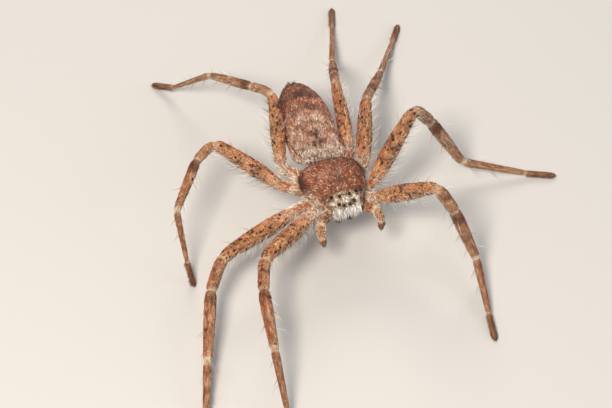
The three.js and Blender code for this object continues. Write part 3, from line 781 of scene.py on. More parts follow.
@dataclass
class Workshop:
    """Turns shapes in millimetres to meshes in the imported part's frame."""

    origin: np.ndarray  # where the spider's own origin is in the part's frame, in millimetres

    @staticmethod
    def from_frame() -> Workshop:
        """Finds the spider's own origin from the carapace, whose back edge and middle are known."""
        low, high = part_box("cephalothorax")
        x = (low[0] + high[0]) / 2 / MM
        y = high[1] / MM - CARAPACE[-1, 0]
        return Workshop(np.array([x, y, 0.0]))

    def place(self, points: np.ndarray) -> np.ndarray:
        """Moves points to the part's frame, in metres."""
        return (points + self.origin) * MM

    def mesh(self, name: str, points: np.ndarray, faces: np.ndarray) -> bpy.types.Object:
        """Builds a mesh object of triangles or quads from arrays.

        Args:
            name: The piece's name.
            points: Its points in the spider's frame.
            faces: The corners of its faces, all with the same count.

        Returns:
            The new object.
        """
        data = bpy.data.meshes.new(name)
        size = faces.shape[1]
        data.vertices.add(len(points))
        data.vertices.foreach_set("co", self.place(points).astype(np.float32).ravel())
        data.loops.add(faces.size)
        data.loops.foreach_set("vertex_index", faces.astype(np.int32).ravel())
        data.polygons.add(len(faces))
        data.polygons.foreach_set("loop_start", (np.arange(len(faces)) * size).astype(np.int32))
        data.update(calc_edges=True)
        data.shade_smooth()
        piece = bpy.data.objects.new(name, data)
        bpy.context.scene.collection.objects.link(piece)
        return piece


def keep_values(data: bpy.types.Mesh, name: str, values: np.ndarray) -> None:
    """Stores a value for each point of a mesh, for its material to read.

    Args:
        data: The mesh.
        name: What the material calls the values.
        values: A number or a vector for each point.
    """
    kind, key = ("FLOAT", "value") if values.ndim == 1 else ("FLOAT_VECTOR", "vector")
    layer = data.attributes.new(name, kind, "POINT")
    layer.data.foreach_set(key, values.astype(np.float32).ravel())


def add_node(tree: bpy.types.NodeTree, kind: str, settings: dict | None = None,
             inputs: dict | None = None) -> bpy.types.Node:
    """Adds a node with its settings and what goes into it.

    Args:
        tree: The material's node tree.
        kind: The node's type.
        settings: Values of the node's own properties.
        inputs: For each input socket's name or number, a value or another node's output socket.

    Returns:
        The new node.
    """
    node = tree.nodes.new(kind)
    for key, value in (settings or {}).items():
        setattr(node, key, value)
    for key, value in (inputs or {}).items():
        if isinstance(value, bpy.types.NodeSocket):
            tree.links.new(value, node.inputs[key])
        else:
            node.inputs[key].default_value = value
    return node


def empty_tree(owner: bpy.types.Material | bpy.types.World) -> bpy.types.NodeTree:
    """Gives a material or a world a node tree with nothing in it yet."""
    owner.use_nodes = True
    owner.node_tree.nodes.clear()
    return owner.node_tree


@dataclass(frozen=True)
class HairFinish:
    """A furred cuticle: the colours that its marks mix, and how its hair takes light.

    The marks are stored with the mesh: how dark, how warm and how pale each place is, from 0 to 1.
    """

    name: str
    ground: str
    dark: str
    warm: str
    pale: str
    roughness: float
    sheen: float = 0.0
    bump: float = 0.0  # depth of the hair's relief in millimetres
    strand: float = 0.12  # width of a drawn strand in millimetres, coarser than a real hair so that it shows
    contrast: float = 0.5  # how much light and dark strands differ

    def material(self) -> bpy.types.Material:
        """Builds the material's nodes."""
        made = bpy.data.materials.new(self.name)
        tree = empty_tree(made)
        marks = add_node(tree, "ShaderNodeAttribute", {"attribute_name": "marks"})
        split = add_node(tree, "ShaderNodeSeparateXYZ", inputs={0: marks.outputs["Vector"]})
        # tone holds each tuft's random lightness together with painted shade: dark tuft roots, light tips and the
        # dimmed skin under the coat
        tone = add_node(tree, "ShaderNodeAttribute", {"attribute_name": "tone"})
        colour = linear(self.ground)
        for shade, share in ((self.warm, "Y"), (self.pale, "Z"), (self.dark, "X")):
            mix = add_node(tree, "ShaderNodeMix", {"data_type": "RGBA"},
                           {0: split.outputs[share], 6: colour, 7: linear(shade)})
            colour = mix.outputs[2]
        grain = add_node(tree, "ShaderNodeAttribute", {"attribute_name": "grain"})
        strands = add_node(tree, "ShaderNodeTexNoise", {"noise_dimensions": "3D"},
                           {"Vector": grain.outputs["Vector"], "Scale": 1 / (2 * self.strand), "Detail": 3.0,
                            "Roughness": 0.6})
        light = add_node(tree, "ShaderNodeMapRange", {},
                         {"Value": strands.outputs["Fac"], "From Min": 0.3, "From Max": 0.7,
                          "To Min": 1 - self.contrast, "To Max": 1 + self.contrast})
        both = add_node(tree, "ShaderNodeMath", {"operation": "MULTIPLY"},
                        {0: light.outputs["Result"], 1: tone.outputs["Fac"]})
        shaded = add_node(tree, "ShaderNodeVectorMath", {"operation": "SCALE"},
                          {0: colour, "Scale": both.outputs["Value"]})
        shader = add_node(tree, "ShaderNodeBsdfPrincipled", {},
                          {"Base Color": shaded.outputs["Vector"], "Roughness": self.roughness,
                           "Specular IOR Level": 0.3, "Sheen Weight": self.sheen, "Sheen Roughness": 0.5})
        if self.bump:
            relief = add_node(tree, "ShaderNodeBump", {},
                              {"Strength": 1.0, "Distance": self.bump * MM, "Height": strands.outputs["Fac"]})
            tree.links.new(relief.outputs["Normal"], shader.inputs["Normal"])
        add_node(tree, "ShaderNodeOutputMaterial", inputs={"Surface": shader.outputs["BSDF"]})
        return made


# Cuticle under a short dense coat. The hair scatters light, so the surface is dull with a faint sheen.
# Each has its ground, dark, warm and pale colours in that order.
CARAPACE_HAIR = HairFinish("chestnut_carapace_hair", "#a4613f", "#43211a", "#b2592b", "#f2dac0",
                           roughness=0.5, sheen=0.05, bump=0.09, strand=0.1, contrast=0.5)
ABDOMEN_HAIR = HairFinish("dusty_abdomen_hair", "#ba8263", "#452d26", "#ad5c3b", "#f4dfca",
                          roughness=0.65, sheen=0.05, bump=0.09, strand=0.12, contrast=0.4)
LEG_HAIR = HairFinish("tan_leg_hair", "#d19965", "#2a0f0b", "#c06633", "#f6dfc0",
                      roughness=0.6, sheen=0.05, bump=0.07, strand=0.1, contrast=0.4)
UNDERSIDE_HAIR = HairFinish("pale_underside_hair", "#cfa98a", "#5a3526", "#c07440", "#f2e6d9",
                            roughness=0.65, sheen=0.05, bump=0.08, strand=0.12, contrast=0.35)
# Nearly bare cuticle, so smoother and a little shiny
CHELICERA_CUTICLE = HairFinish("red_brown_chelicera_cuticle", "#7a3424", "#32120d", "#8d3d22", "#e6d6c2",
                               roughness=0.3, bump=0.03, strand=0.2, contrast=0.25)
# Stout pale hairs that stand one by one
WHITE_BRISTLE = HairFinish("white_bristle", "#e3d5bd", "#4b3226", "#b59253", "#fffaf2",
                           roughness=0.5, sheen=0.05, strand=0.2, contrast=0.15)


@dataclass(frozen=True)
class GlossFinish:
    """A smooth hard surface: chitin lens, horn or wax-like rim."""

    name: str
    colour: str
    roughness: float
    ior: float = 1.5
    coat: float = 0.0
    mottle: float = 0.25
    grain: float = 0.3  # size of its faint mottling in millimetres

    def material(self) -> bpy.types.Material:
        """Builds the material's nodes."""
        made = bpy.data.materials.new(self.name)
        tree = empty_tree(made)
        place = add_node(tree, "ShaderNodeTexCoord")
        noise = add_node(tree, "ShaderNodeTexNoise", {},
                         {"Vector": place.outputs["Object"], "Scale": 1 / (self.grain * MM), "Detail": 2.0})
        light = add_node(tree, "ShaderNodeMapRange", {},
                         {"Value": noise.outputs["Fac"], "To Min": 1 - self.mottle,
                          "To Max": 1 + self.mottle})
        shaded = add_node(tree, "ShaderNodeVectorMath", {"operation": "SCALE"},
                          {0: linear(self.colour)[:3], "Scale": light.outputs["Result"]})
        shader = add_node(tree, "ShaderNodeBsdfPrincipled", {},
                          {"Base Color": shaded.outputs["Vector"], "Roughness": self.roughness,
                           "IOR": self.ior, "Coat Weight": self.coat, "Coat Roughness": 0.03})
        add_node(tree, "ShaderNodeOutputMaterial", inputs={"Surface": shader.outputs["BSDF"]})
        return made


# Chitin lens, naturally polished: nearly black, with one sharp highlight
EYE_LENS = GlossFinish("chitin_eye_lens", "#060405", roughness=0.08, ior=1.45)
# Bare waxy cuticle round each eye, which shows as a thin yellow rim
EYE_RIM = GlossFinish("waxy_eye_rim", "#9d8550", roughness=0.45, mottle=0.45, grain=0.12)
# Hard dark horn of claws and fangs, which catches the light
CLAW_HORN = GlossFinish("dark_claw_horn", "#24120c", roughness=0.25, ior=1.54, coat=0.3)
# Stiff clear horn of the leg spines, which looks amber
SPINE_HORN = GlossFinish("amber_spine_horn", "#b08560", roughness=0.35, ior=1.54, coat=0.1, mottle=0.35,
                         grain=0.6)


@dataclass(frozen=True)
class PaperFinish:
    """Matt uncoated paper, which looks even and has no highlight."""

    name: str
    colour: str
    roughness: float = 0.85
    specular: float = 0.2

    def material(self) -> bpy.types.Material:
        """Builds the material's nodes."""
        made = bpy.data.materials.new(self.name)
        tree = empty_tree(made)
        shader = add_node(tree, "ShaderNodeBsdfPrincipled", {},
                          {"Base Color": linear(self.colour), "Roughness": self.roughness,
                           "Specular IOR Level": self.specular})
        add_node(tree, "ShaderNodeOutputMaterial", inputs={"Surface": shader.outputs["BSDF"]})
        return made


STUDIO_PAPER = PaperFinish("matt_studio_paper", "#bdbab6")

# Dark blotches along a leg: course, reach and depth
LEG_BLOTCHES = ((1.32, 0.07, 0.5), (1.56, 0.09, 0.75), (1.82, 0.07, 0.7), (2.45, 0.2, 0.4), (3.1, 0.07, 0.75),
                (3.55, 0.1, 0.5), (3.85, 0.06, 0.4), (4.12, 0.07, 0.45), (4.6, 0.12, 0.3))
# Pale joints of a leg: course, reach before and after, depth
PALE_JOINTS = ((2.0, 0.04, 0.12, 0.5), (3.0, 0.1, 0.02, 1.0), (4.0, 0.09, 0.04, 0.95), (5.0, 0.05, 0.05, 0.4))


@dataclass
class Markings:
    """Where the spider is dark, warm and pale. The skin and the coat over it both read this.

    Each region has a method that gives the marks of some places on it. Lengths are in millimetres, or in
    segments along a limb, and the last number of a cloud or of dots only picks its pattern.
    """

    def read(self, points: np.ndarray, facts: Facts) -> np.ndarray:
        """Works out the marks of some places.

        Args:
            points: The places in the spider's frame.
            facts: What is known of them.

        Returns:
            A row for each place: how dark, how warm and how pale it is.
        """
        painters = (self.carapace, self.abdomen, self.underside, self.leg, self.palp, self.chelicera,
                    self.abdomen)
        marks = np.zeros((len(points), 3))
        for region, paint in zip(Region, painters):
            here = np.flatnonzero(facts.region == region.value)
            if len(here):
                marks[here] = paint(points[here], facts.take(here))
        return np.clip(marks, 0, 1)

    def carapace(self, points: np.ndarray, facts: Facts) -> np.ndarray:
        """Chestnut, with a grey-brown middle, dark rear corners, a cream margin, a cream face and painted shade on
        its left flank.
        """
        x, y = points[:, 0], points[:, 1]
        wave = cloud(points, 1.1, 3) - 0.5
        rim = np.abs(x) / along(CARAPACE, y)[:, 0]
        middle = bump_at(x, 0, 0.75) * bump_at(y, -0.4, 1.5)
        neck = bump_at(np.abs(x), 0.7 + 0.3 * np.maximum(0, -y), 0.3)
        neck *= smooth(0.5, -1.2, y) * smooth(-3, -2, y)
        corner = smooth(0.82, 0.96, rim + 0.2 * wave) * bump_at(y, 1.6, 1.9) * np.where(x < 0, 1.0, 0.5)
        specks = dots(points, 0.45, 0.18, 0.5, 11)
        dark = 0.95 * middle * (0.7 + wave) + 0.25 * neck + 0.85 * corner + 0.5 * specks * (y > -2.3)
        # Darker towards the back, and painted shade on the left flank, which faces away from the key light
        dark += 0.2 * smooth(1.2, 3.2, y) + 0.25 * smooth(1.5, 3.5, x)
        reach = self.face_reach(y)
        face = smooth(-2.4, -2.7, y + 0.4 * wave) * smooth(reach + 0.12, reach - 0.12, np.abs(x) + 0.3 * wave)
        round_eyes = self.near_eyes(x, y)
        olive = smooth(-4.1, -3.2, y) * smooth(0.3, 0.6, cloud(points, 0.4, 7))
        dark = dark * (1 - face) + face * (1.2 * dots(points, 0.4, 0.18, 0.6, 17) + 0.35 * round_eyes)
        side = smooth(-1.8, -2.6, y) * (1 - face)
        margin = smooth(0.89, 0.96, rim) * smooth(0.6, -0.8, y)
        dark += 0.35 * side * (1 - margin)
        spot = bump_at(np.hypot(x + 2.35, y + 0.1), 0, 0.42)
        golden = smooth(0.62, 0.8, cloud(points, 0.35, 5))
        strands = cloud(points, 0.3, 6) - 0.5
        pale = face * (0.9 + 0.3 * wave - 0.55 * round_eyes) + margin * (0.55 + 1.2 * strands) + 0.3 * spot
        pale += (0.25 * golden * (1 - middle) + 0.17 * middle) * (1 - face) - 0.4 * face * olive
        warm = (0.35 + 0.7 * wave + 0.25 * smooth(0.3, 0.8, rim)) * (1 - face)
        warm += face * np.maximum(round_eyes, 0.7 * olive)
        return np.stack([dark, warm, pale], 1)

    @staticmethod
    def face_reach(y: np.ndarray) -> np.ndarray:
        """How far to each side the cream face reaches."""
        return 2.45 - 0.34 * np.maximum(0, -2.5 - y)

    @staticmethod
    def near_eyes(x: np.ndarray, y: np.ndarray) -> np.ndarray:
        """Works out how close places are to an eye.

        Args:
            x: How far to the side each place is.
            y: Where it is from front to back.

        Returns:
            1 for each place at an eye's edge, falling to 0 about half a millimetre away.
        """
        near = np.zeros(len(x))
        for eye_x, eye_y, radius in EYES.values():
            gap = np.hypot(np.abs(x) - eye_x, y - eye_y) - radius
            near = np.maximum(near, smooth(0.45, 0.1, gap))
        return near

    def abdomen(self, points: np.ndarray, facts: Facts) -> np.ndarray:
        """Dusty pink-brown and mottled: a pale front, a grey heart mark, a reddish rear, and reddish flanks with
        painted shade below the crest.
        """
        x, y, z = ABDOMEN_FORM.unturn(points).T
        wave = cloud(points, 0.9, 21) - 0.5
        fine = cloud(points, 0.35, 22) - 0.5
        front = smooth(8.0, 5.2, y + 2.0 * wave)
        heart = bump_at(x, 0, 0.5 + 0.2 * np.clip(8.0 - y, 0, 2)) * smooth(5.4, 6.3, y) * smooth(9.2, 8.2, y)
        blotches = bump_at(np.hypot(np.abs(x) - 1.15, (y - 10.7) * 0.8), 0, 0.85)
        bars = smooth(0.25, 0.75, np.sin((y - 9.2) * 2.1 + 0.8 * np.abs(x)) * 0.5 + 0.5 + 0.6 * wave)
        bars *= smooth(8.8, 10.4, y) * smooth(3.2, 1.4, np.abs(x))
        speckle = dots(points, 0.4, 0.15, 0.6, 25)
        crest = 10.05 - 0.34 * np.clip(y - 7.4, 0, 3)
        flank = smooth(crest, crest - 0.25, z)
        dark = 0.9 * heart * (0.7 + 2.4 * fine) + 0.35 * bars * (1 - blotches) + 0.6 * speckle
        dark += 0.3 * smooth(0.1, 0.35, wave + fine) + 0.25 * smooth(12.5, 17, y)
        line = bump_at(z, crest + 0.12 * wave, 0.12) * smooth(11, 10, y)
        # Below the crest the sides get painted shade, darker from the middle back and less pale; their reddish tone
        # is their own colour
        dark = dark * (1 - 0.6 * flank) + 0.75 * line + 0.5 * flank * smooth(9, 10.5, y)
        warm = 0.25 + 0.5 * smooth(11.0, 16, y) + 0.35 * flank + 0.6 * wave + 0.5 * line
        pale = 0.75 * front * (0.75 + 2.2 * fine) * (1 - 0.8 * heart) + 0.5 * blotches
        pale += 0.3 * smooth(0.05, 0.3, -wave) * smooth(13, 8, y)
        return np.stack([dark, warm, pale * (1 - 0.4 * flank) * (1 - line)], 1)

    def underside(self, points: np.ndarray, facts: Facts) -> np.ndarray:
        """Pale and pinkish, with orange where the hair is thin."""
        wave = cloud(points, 0.8, 31) - 0.5
        return np.stack([0.4 * dots(points, 0.5, 0.18, 0.3, 33), 0.4 + wave, 0.25 - wave], 1)

    def leg(self, points: np.ndarray, facts: Facts) -> np.ndarray:
        """Tan, with an orange edge, dark dots and blotches, pale joints and streaked shanks."""
        course, front, high = facts.course, facts.front, facts.high
        wave = cloud(points, 1.3, 41) - 0.5
        fine = cloud(points, 0.45, 42) - 0.5
        edge = smooth(0.5, 0.95, 0.6 * high - 0.8 * front)
        below = smooth(0.1, -0.75, high)
        shank = smooth(1.95, 2.15, course)
        blotch = np.zeros(len(points))
        for middle, reach, depth in LEG_BLOTCHES:
            blotch += depth * bump_at(course, middle, reach) * (0.3 + 1.6 * fine + 0.9 * wave)
        blotch *= smooth(-0.75, 0.1, high + 0.3 * front)
        dark = self.leg_dots(points, facts) + np.clip(blotch, 0, 0.85)
        dark *= smooth(0.95, 1.1, course)
        cuff = bump_at(course, 3.13, 0.11) * (0.6 + wave)
        streak = cloud(grain_of(points, facts), 0.14, 44) - 0.5
        dark += 0.2 * shank + 0.62 * cuff + 0.1 * smooth(4.0, 4.2, course)
        dark += shank * np.clip(-1.1 * streak - 0.1, 0, 0.35)
        dark = np.minimum(dark, 1 - 0.3 * shank)
        pale = np.zeros(len(points))
        for joint, before, after, depth in PALE_JOINTS:
            rise = smooth(joint - before, joint - 0.4 * before, course)
            pale += depth * rise * smooth(joint + after, joint + 0.4 * after, course)
        pale = pale * (0.75 + 1.2 * fine) + 0.5 * below * (0.8 + fine)
        pale += 0.35 * smooth(1.35, 1.0, course) * (0.6 + fine)
        pale += shank * (0.1 * smooth(0.1, 0.9, front) + np.clip(1.1 * streak, 0, 0.3)) * (1 - cuff)
        hip = smooth(1.1, 0.95, course)
        pale += hip * (0.2 + 1.6 * wave + 0.8 * fine)
        warm = 0.85 * edge * (0.75 + wave) + 0.17 * shank + 0.4 * cuff + 0.22 + 0.4 * fine
        warm *= 1 - 0.45 * below
        strip = smooth(0.5, 0.2, np.abs(front - 0.15)) * smooth(0.0, 0.5, high)
        warm = warm * (1 - 0.5 * hip) + hip * (0.6 * strip + 0.35 * smooth(0.0, 0.12, -wave))
        pale -= hip * 0.35 * strip
        dark += hip * 0.5 * dots(points, 0.55, 0.2, 0.5, 48)
        foot = smooth(4.9, 5.3, course)
        dark += 0.3 * foot
        return np.stack([dark * (1 - 0.5 * np.clip(pale, 0, 1)), warm, pale * (1 - 0.6 * foot)], 1)

    @staticmethod
    def leg_dots(points: np.ndarray, facts: Facts) -> np.ndarray:
        """Spreads the dark dots of the legs, densest halfway along the femur and fewer on the shank.

        Args:
            points: The places in the spider's frame.
            facts: What is known of them.

        Returns:
            1 for each place in a dot and 0 outside, with soft edges.
        """
        course = facts.course
        crowd = smooth(0.35, 0.7, cloud(points, 1.6, 43)) + 0.7 * bump_at(course, 1.5, 0.16)
        femur = course < 2.02
        small = dots(points, 0.44, 0.2, 0.9, 45) * (crowd > 0.2) * femur
        spots = np.maximum(small, dots(points, 0.7, 0.27, 0.6, 47) * (femur | (crowd > 0.45)))
        reach = smooth(1.02, 1.15, course) * smooth(4.7, 3.6, course) * (1 - 0.3 * smooth(1.95, 2.15, course))
        return spots * reach * smooth(-0.75, -0.2, facts.high)

    def palp(self, points: np.ndarray, facts: Facts) -> np.ndarray:
        """Orange-brown near the face, paler with a cream ring further on, and dark at the tip."""
        course = facts.course
        fine = cloud(points, 0.4, 51) - 0.5
        ring = bump_at(course, 2.04, 0.1) + 0.7 * bump_at(course, 2.97, 0.07)
        rims = smooth(0.75, 0.98, np.abs(facts.front)) * smooth(2.0, 2.3, course) * smooth(3.2, 2.9, course)
        warm = 0.6 * smooth(2.2, 1.5, course) + 0.35 + 1.4 * fine
        dark = 0.8 * dots(points, 0.4, 0.19, 0.65, 53) + 0.5 * smooth(2.95, 3.25, course)
        dark += 0.2 * smooth(2.0, 1.6, course)
        return np.stack([dark * (1 - 0.6 * ring), warm, 0.9 * ring + 0.5 * rims + 0.15 + 0.4 * fine], 1)

    def chelicera(self, points: np.ndarray, facts: Facts) -> np.ndarray:
        """Red-brown and bare, darker down to the fang."""
        z = points[:, 2]
        return np.stack([smooth(7.2, 5.9, z), 0.3 + cloud(points, 0.5, 61) * 0.5, np.zeros(len(z))], 1)


@dataclass
class Body:
    """The whole spider as raw surfaces, and the one skin that is drawn over them."""

    shop: Workshop
    limbs: list[Limb] = field(init=False)
    patches: list[Patch] = field(init=False)
    raw_points: np.ndarray = field(init=False)
    raw_faces: np.ndarray = field(init=False)
    known: np.ndarray = field(init=False)  # what each raw point knows, in the columns of a Patch
    face_patch: np.ndarray = field(init=False)  # the number of the patch that each raw face is in
    tree: BVHTree = field(init=False)
    points: np.ndarray = field(init=False)
    faces: np.ndarray = field(init=False)
    normals: np.ndarray = field(init=False)

    def __post_init__(self) -> None:
        """Makes the raw surfaces, the tree that finds places on them and the skin."""
        self.limbs = [leg_limb(i, pose) for i, pose in enumerate(LEG_POSES)]
        self.limbs += [palp_limb(len(LEG_POSES) + k, side) for k, side in enumerate(Side)]
        limb_depths = {Region.LEG: COAT_DEPTH, Region.PALP: PALP_COAT_DEPTH}
        self.patches = [
            BodyForm(Region.CARAPACE, CARAPACE, deeper=0.55).patch(CARAPACE_COAT_DEPTH),
            ABDOMEN_FORM.patch(ABDOMEN_COAT_DEPTH),
            BodyForm(Region.UNDERSIDE, STERNUM).patch(COAT_DEPTH),
            *[limb.patch(limb_depths[limb.region]) for limb in self.limbs],
            *[self.chelicera(side) for side in Side],
            *self.tubes(),
        ]
        self.raw_points, self.raw_faces = joined([(patch.points, patch.faces) for patch in self.patches])
        self.known = np.vstack([patch.known for patch in self.patches])
        counts = [len(patch.faces) for patch in self.patches]
        self.face_patch = np.repeat(np.arange(len(self.patches)), counts)
        self.tree = BVHTree.FromPolygons(self.raw_points.tolist(), self.raw_faces.tolist())
        self.draw_skin()

    @staticmethod
    def chelicera(side: Side) -> Patch:
        """Makes one chelicera's raw surface.

        Args:
            side: The side that it is on.

        Returns:
            The closed surface.
        """
        sides = 32
        z = np.linspace(CHELICERA[0, 0], CHELICERA[-1, 0], 30)
        y, wide, deep = along(CHELICERA[::-1], z).T
        turn = 2 * np.pi * np.arange(sides) / sides
        rings = np.empty((len(z), sides, 3))
        rings[..., 0] = side.value * CHELICERA_X + (wide - CHELICERA_COAT_DEPTH)[:, None] * np.cos(turn)
        rings[..., 1] = y[:, None] + (deep - CHELICERA_COAT_DEPTH)[:, None] * np.sin(turn)
        rings[..., 2] = z[:, None]
        known = np.zeros((*rings.shape[:2], 7))
        known[..., 5] = -1.0
        known[..., 6] = -z[:, None]
        return Patch.lofted(Region.CHELICERA, -1, rings, known)

    @staticmethod
    def tubes() -> list[Patch]:
        """Makes the raw surfaces of the waist and the spinnerets."""
        made = []
        routes = [(np.array(WAIST[0]), np.array(WAIST[1]), WAIST[2], WAIST[2], Region.UNDERSIDE)]
        for sign in (-1, 1):
            for x, z, length, radius in SPINNERETS:
                start = ABDOMEN_FORM.turn(np.array([sign * x, SPINNERET_ROOT_Y, z]))
                end = ABDOMEN_FORM.turn(np.array([sign * x * SPINNERET_SPREAD, SPINNERET_FOOT_Y + length, z]))
                routes.append((start, end, radius, TUBE_TAPER * radius, Region.SPINNERET))
        for start, end, first, last, region in routes:
            ahead = unit(end - start)
            across = unit(np.cross(ahead, UP))
            over = np.cross(across, ahead)
            share = np.linspace(0, 1, 14)
            radius = first + (last - first) * smooth(0.6, 1.0, share)
            centre = start + (end - start) * share[:, None]
            rings = centre[:, None] + radius[:, None, None] * circle(across, over, 20)
            known = np.zeros((*rings.shape[:2], 7))
            known[..., 3:6] = ahead
            known[..., 6] = share[:, None]
            made.append(Patch.lofted(region, -1, rings, known))
        return made

    def draw_skin(self) -> None:
        """Draws one closed skin over all the raw surfaces and keeps its points and faces."""
        data = bpy.data.meshes.new("raw_body")
        data.from_pydata(self.raw_points.tolist(), [], self.raw_faces.tolist())
        raw = bpy.data.objects.new("raw_body", data)
        bpy.context.scene.collection.objects.link(raw)
        remesh = raw.modifiers.new("one_skin", "REMESH")
        remesh.mode = "VOXEL"
        remesh.voxel_size = VOXEL
        soften = raw.modifiers.new("soften", "SMOOTH")
        soften.factor = 0.5
        soften.iterations = 3
        split = raw.modifiers.new("triangles", "TRIANGULATE")
        split.quad_method = "SHORTEST_DIAGONAL"
        graph = bpy.context.evaluated_depsgraph_get()
        made = raw.evaluated_get(graph).to_mesh()
        points = np.empty(len(made.vertices) * 3, np.float32)
        made.vertices.foreach_get("co", points)
        corners = np.empty(len(made.loops), np.int32)
        made.loops.foreach_get("vertex_index", corners)
        normals = np.empty(len(made.vertices) * 3, np.float32)
        made.vertices.foreach_get("normal", normals)
        self.points = points.reshape(-1, 3).astype(float)
        self.faces = corners.reshape(-1, 3)
        self.normals = normals.reshape(-1, 3).astype(float)
        raw.evaluated_get(graph).to_mesh_clear()
        bpy.data.objects.remove(raw)
        bpy.data.meshes.remove(data)

    def locate(self, points: np.ndarray) -> Facts:
        """Finds what is known of places on or near the skin.

        Args:
            points: The places in the spider's frame.

        Returns:
            The facts of the nearest places on the raw surfaces.
        """
        hits = [self.tree.find_nearest(Vector(p)) for p in points.tolist()]
        place = np.array([hit[0][:] for hit in hits])
        index = np.array([hit[2] for hit in hits])
        a, b, c = (self.raw_points[self.raw_faces[index, k]] for k in range(3))
        ab, ac, ap = b - a, c - a, place - a
        d00, d01, d11 = (ab * ab).sum(1), (ab * ac).sum(1), (ac * ac).sum(1)
        d20, d21 = (ap * ab).sum(1), (ap * ac).sum(1)
        scale = np.maximum(d00 * d11 - d01 * d01, 1e-12)
        v = np.clip((d11 * d20 - d01 * d21) / scale, 0, 1)
        w = np.clip((d00 * d21 - d01 * d20) / scale, 0, 1)
        weights = np.stack([np.clip(1 - v - w, 0, 1), v, w], 1)
        known = sum(self.known[self.raw_faces[index, k]] * weights[:, k:k + 1] for k in range(3))
        patch = self.face_patch[index]
        regions = np.array([p.region.value for p in self.patches])
        limbs = np.array([p.limb for p in self.patches])
        return Facts(regions[patch], limbs[patch], known[:, 0], known[:, 1], known[:, 2], unit(known[:, 3:6]),
                     known[:, 6])


def grain_of(points: np.ndarray, facts: Facts) -> np.ndarray:
    """Squeezes places along the lie of the hair, so that a pattern there is drawn out to strands.

    Args:
        points: The places in the spider's frame.
        facts: What is known of them.

    Returns:
        The places to read a pattern at, in millimetres.
    """
    squeeze = 0.16
    along_lie = (points * facts.lie).sum(1)[:, None] * facts.lie
    return points - (1 - squeeze) * along_lie


PAINTED_SKIN_SHADE = 0.62  # how light the skin is under its coat, dimmed as painted shade so that the gaps between tufts show dark
NODES_OF_FLESH = (
    ["cephalothorax", "sternum_and_coxae", "abdomen", "spinnerets"]
    + [f"chelicera_{side.name.lower()}" for side in Side]
    + [f"palp_{side.name.lower()}{end}" for side in Side for end in ("", "_tarsus")]
    + [f"{pose.name}_{segment}" for pose in LEG_POSES for segment in SEGMENTS[1:]]
)


@dataclass
class Skin:
    """The visible skin with a finish for each region."""

    body: Body
    markings: Markings
    finishes: dict[Region, HairFinish]

    def build(self) -> bpy.types.Object:
        """Builds and dresses the skin, which stands for all the nodes of flesh."""
        body = self.body
        skin = body.shop.mesh("skin", body.points, body.faces)
        facts = body.locate(body.points)
        keep_values(skin.data, "marks", self.markings.read(body.points, facts))
        keep_values(skin.data, "grain", grain_of(body.points, facts))
        keep_values(skin.data, "tone", np.full(len(body.points), PAINTED_SKIN_SHADE))
        order = list(self.finishes)
        for region in order:
            skin.data.materials.append(self.finishes[region].material())
        slot_of = np.zeros(len(Region), np.int32)
        for number, region in enumerate(order):
            slot_of[region.value] = number
        votes = facts.region[body.faces[:, 0]]
        skin.data.polygons.foreach_set("material_index", slot_of[votes].astype(np.int32))
        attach(skin, "root")
        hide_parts(*NODES_OF_FLESH)
        log.info("skin: %d triangles", len(body.faces))
        return skin


@dataclass(frozen=True)
class Growth:
    """How one coat grows: where, how densely, and the form of each tuft."""

    name: str
    finish: HairFinish
    slot: str
    per_mm2: float
    length: float
    width: float
    lift: float  # degrees that the root stands off the skin
    tip_lift: float  # the same at the tip
    spread: float  # degrees that tufts turn aside from the lie
    curl: float  # degrees that a tuft's tip turns sideways
    tone: tuple[float, float] = (0.75, 1.2)  # the darkest and lightest tufts
    vary: float = 0.35
    seed: int = 1
    dark_hairs: float = 0.22  # the share of tufts that are dark
    pale_hairs: float = 0.25  # the share that are cream
    warm_hairs: float = 0.25  # the share that are orange
    bent: bool = True  # whether a tuft has a bend half way, or is one straight spike


ROOT_DEPTH = 0.03  # how far a tuft's root is sunk in the skin
# The corners of a tuft's faces, and which of root (0), middle (1) and tip (2) each of its points belongs to
BENT_TUFT = np.array([(0, 1, 2), (0, 3, 1), (1, 3, 4), (1, 4, 2), (2, 4, 5), (2, 5, 0), (0, 5, 3),
                      (3, 6, 4), (4, 6, 5), (5, 6, 3)])
BENT_STATIONS = np.array([0, 0, 0, 1, 1, 1, 2])
STRAIGHT_TUFT = np.array([(0, 1, 2), (0, 3, 1), (1, 3, 2), (2, 3, 0)])
STRAIGHT_STATIONS = np.array([0, 0, 0, 2])
PAINTED_TUFT_SHADING = np.array([0.72, 1.0, 1.12])  # painted shade and light along a tuft: darker at its root, down in the coat, and lighter at its tip; values for root, middle and tip
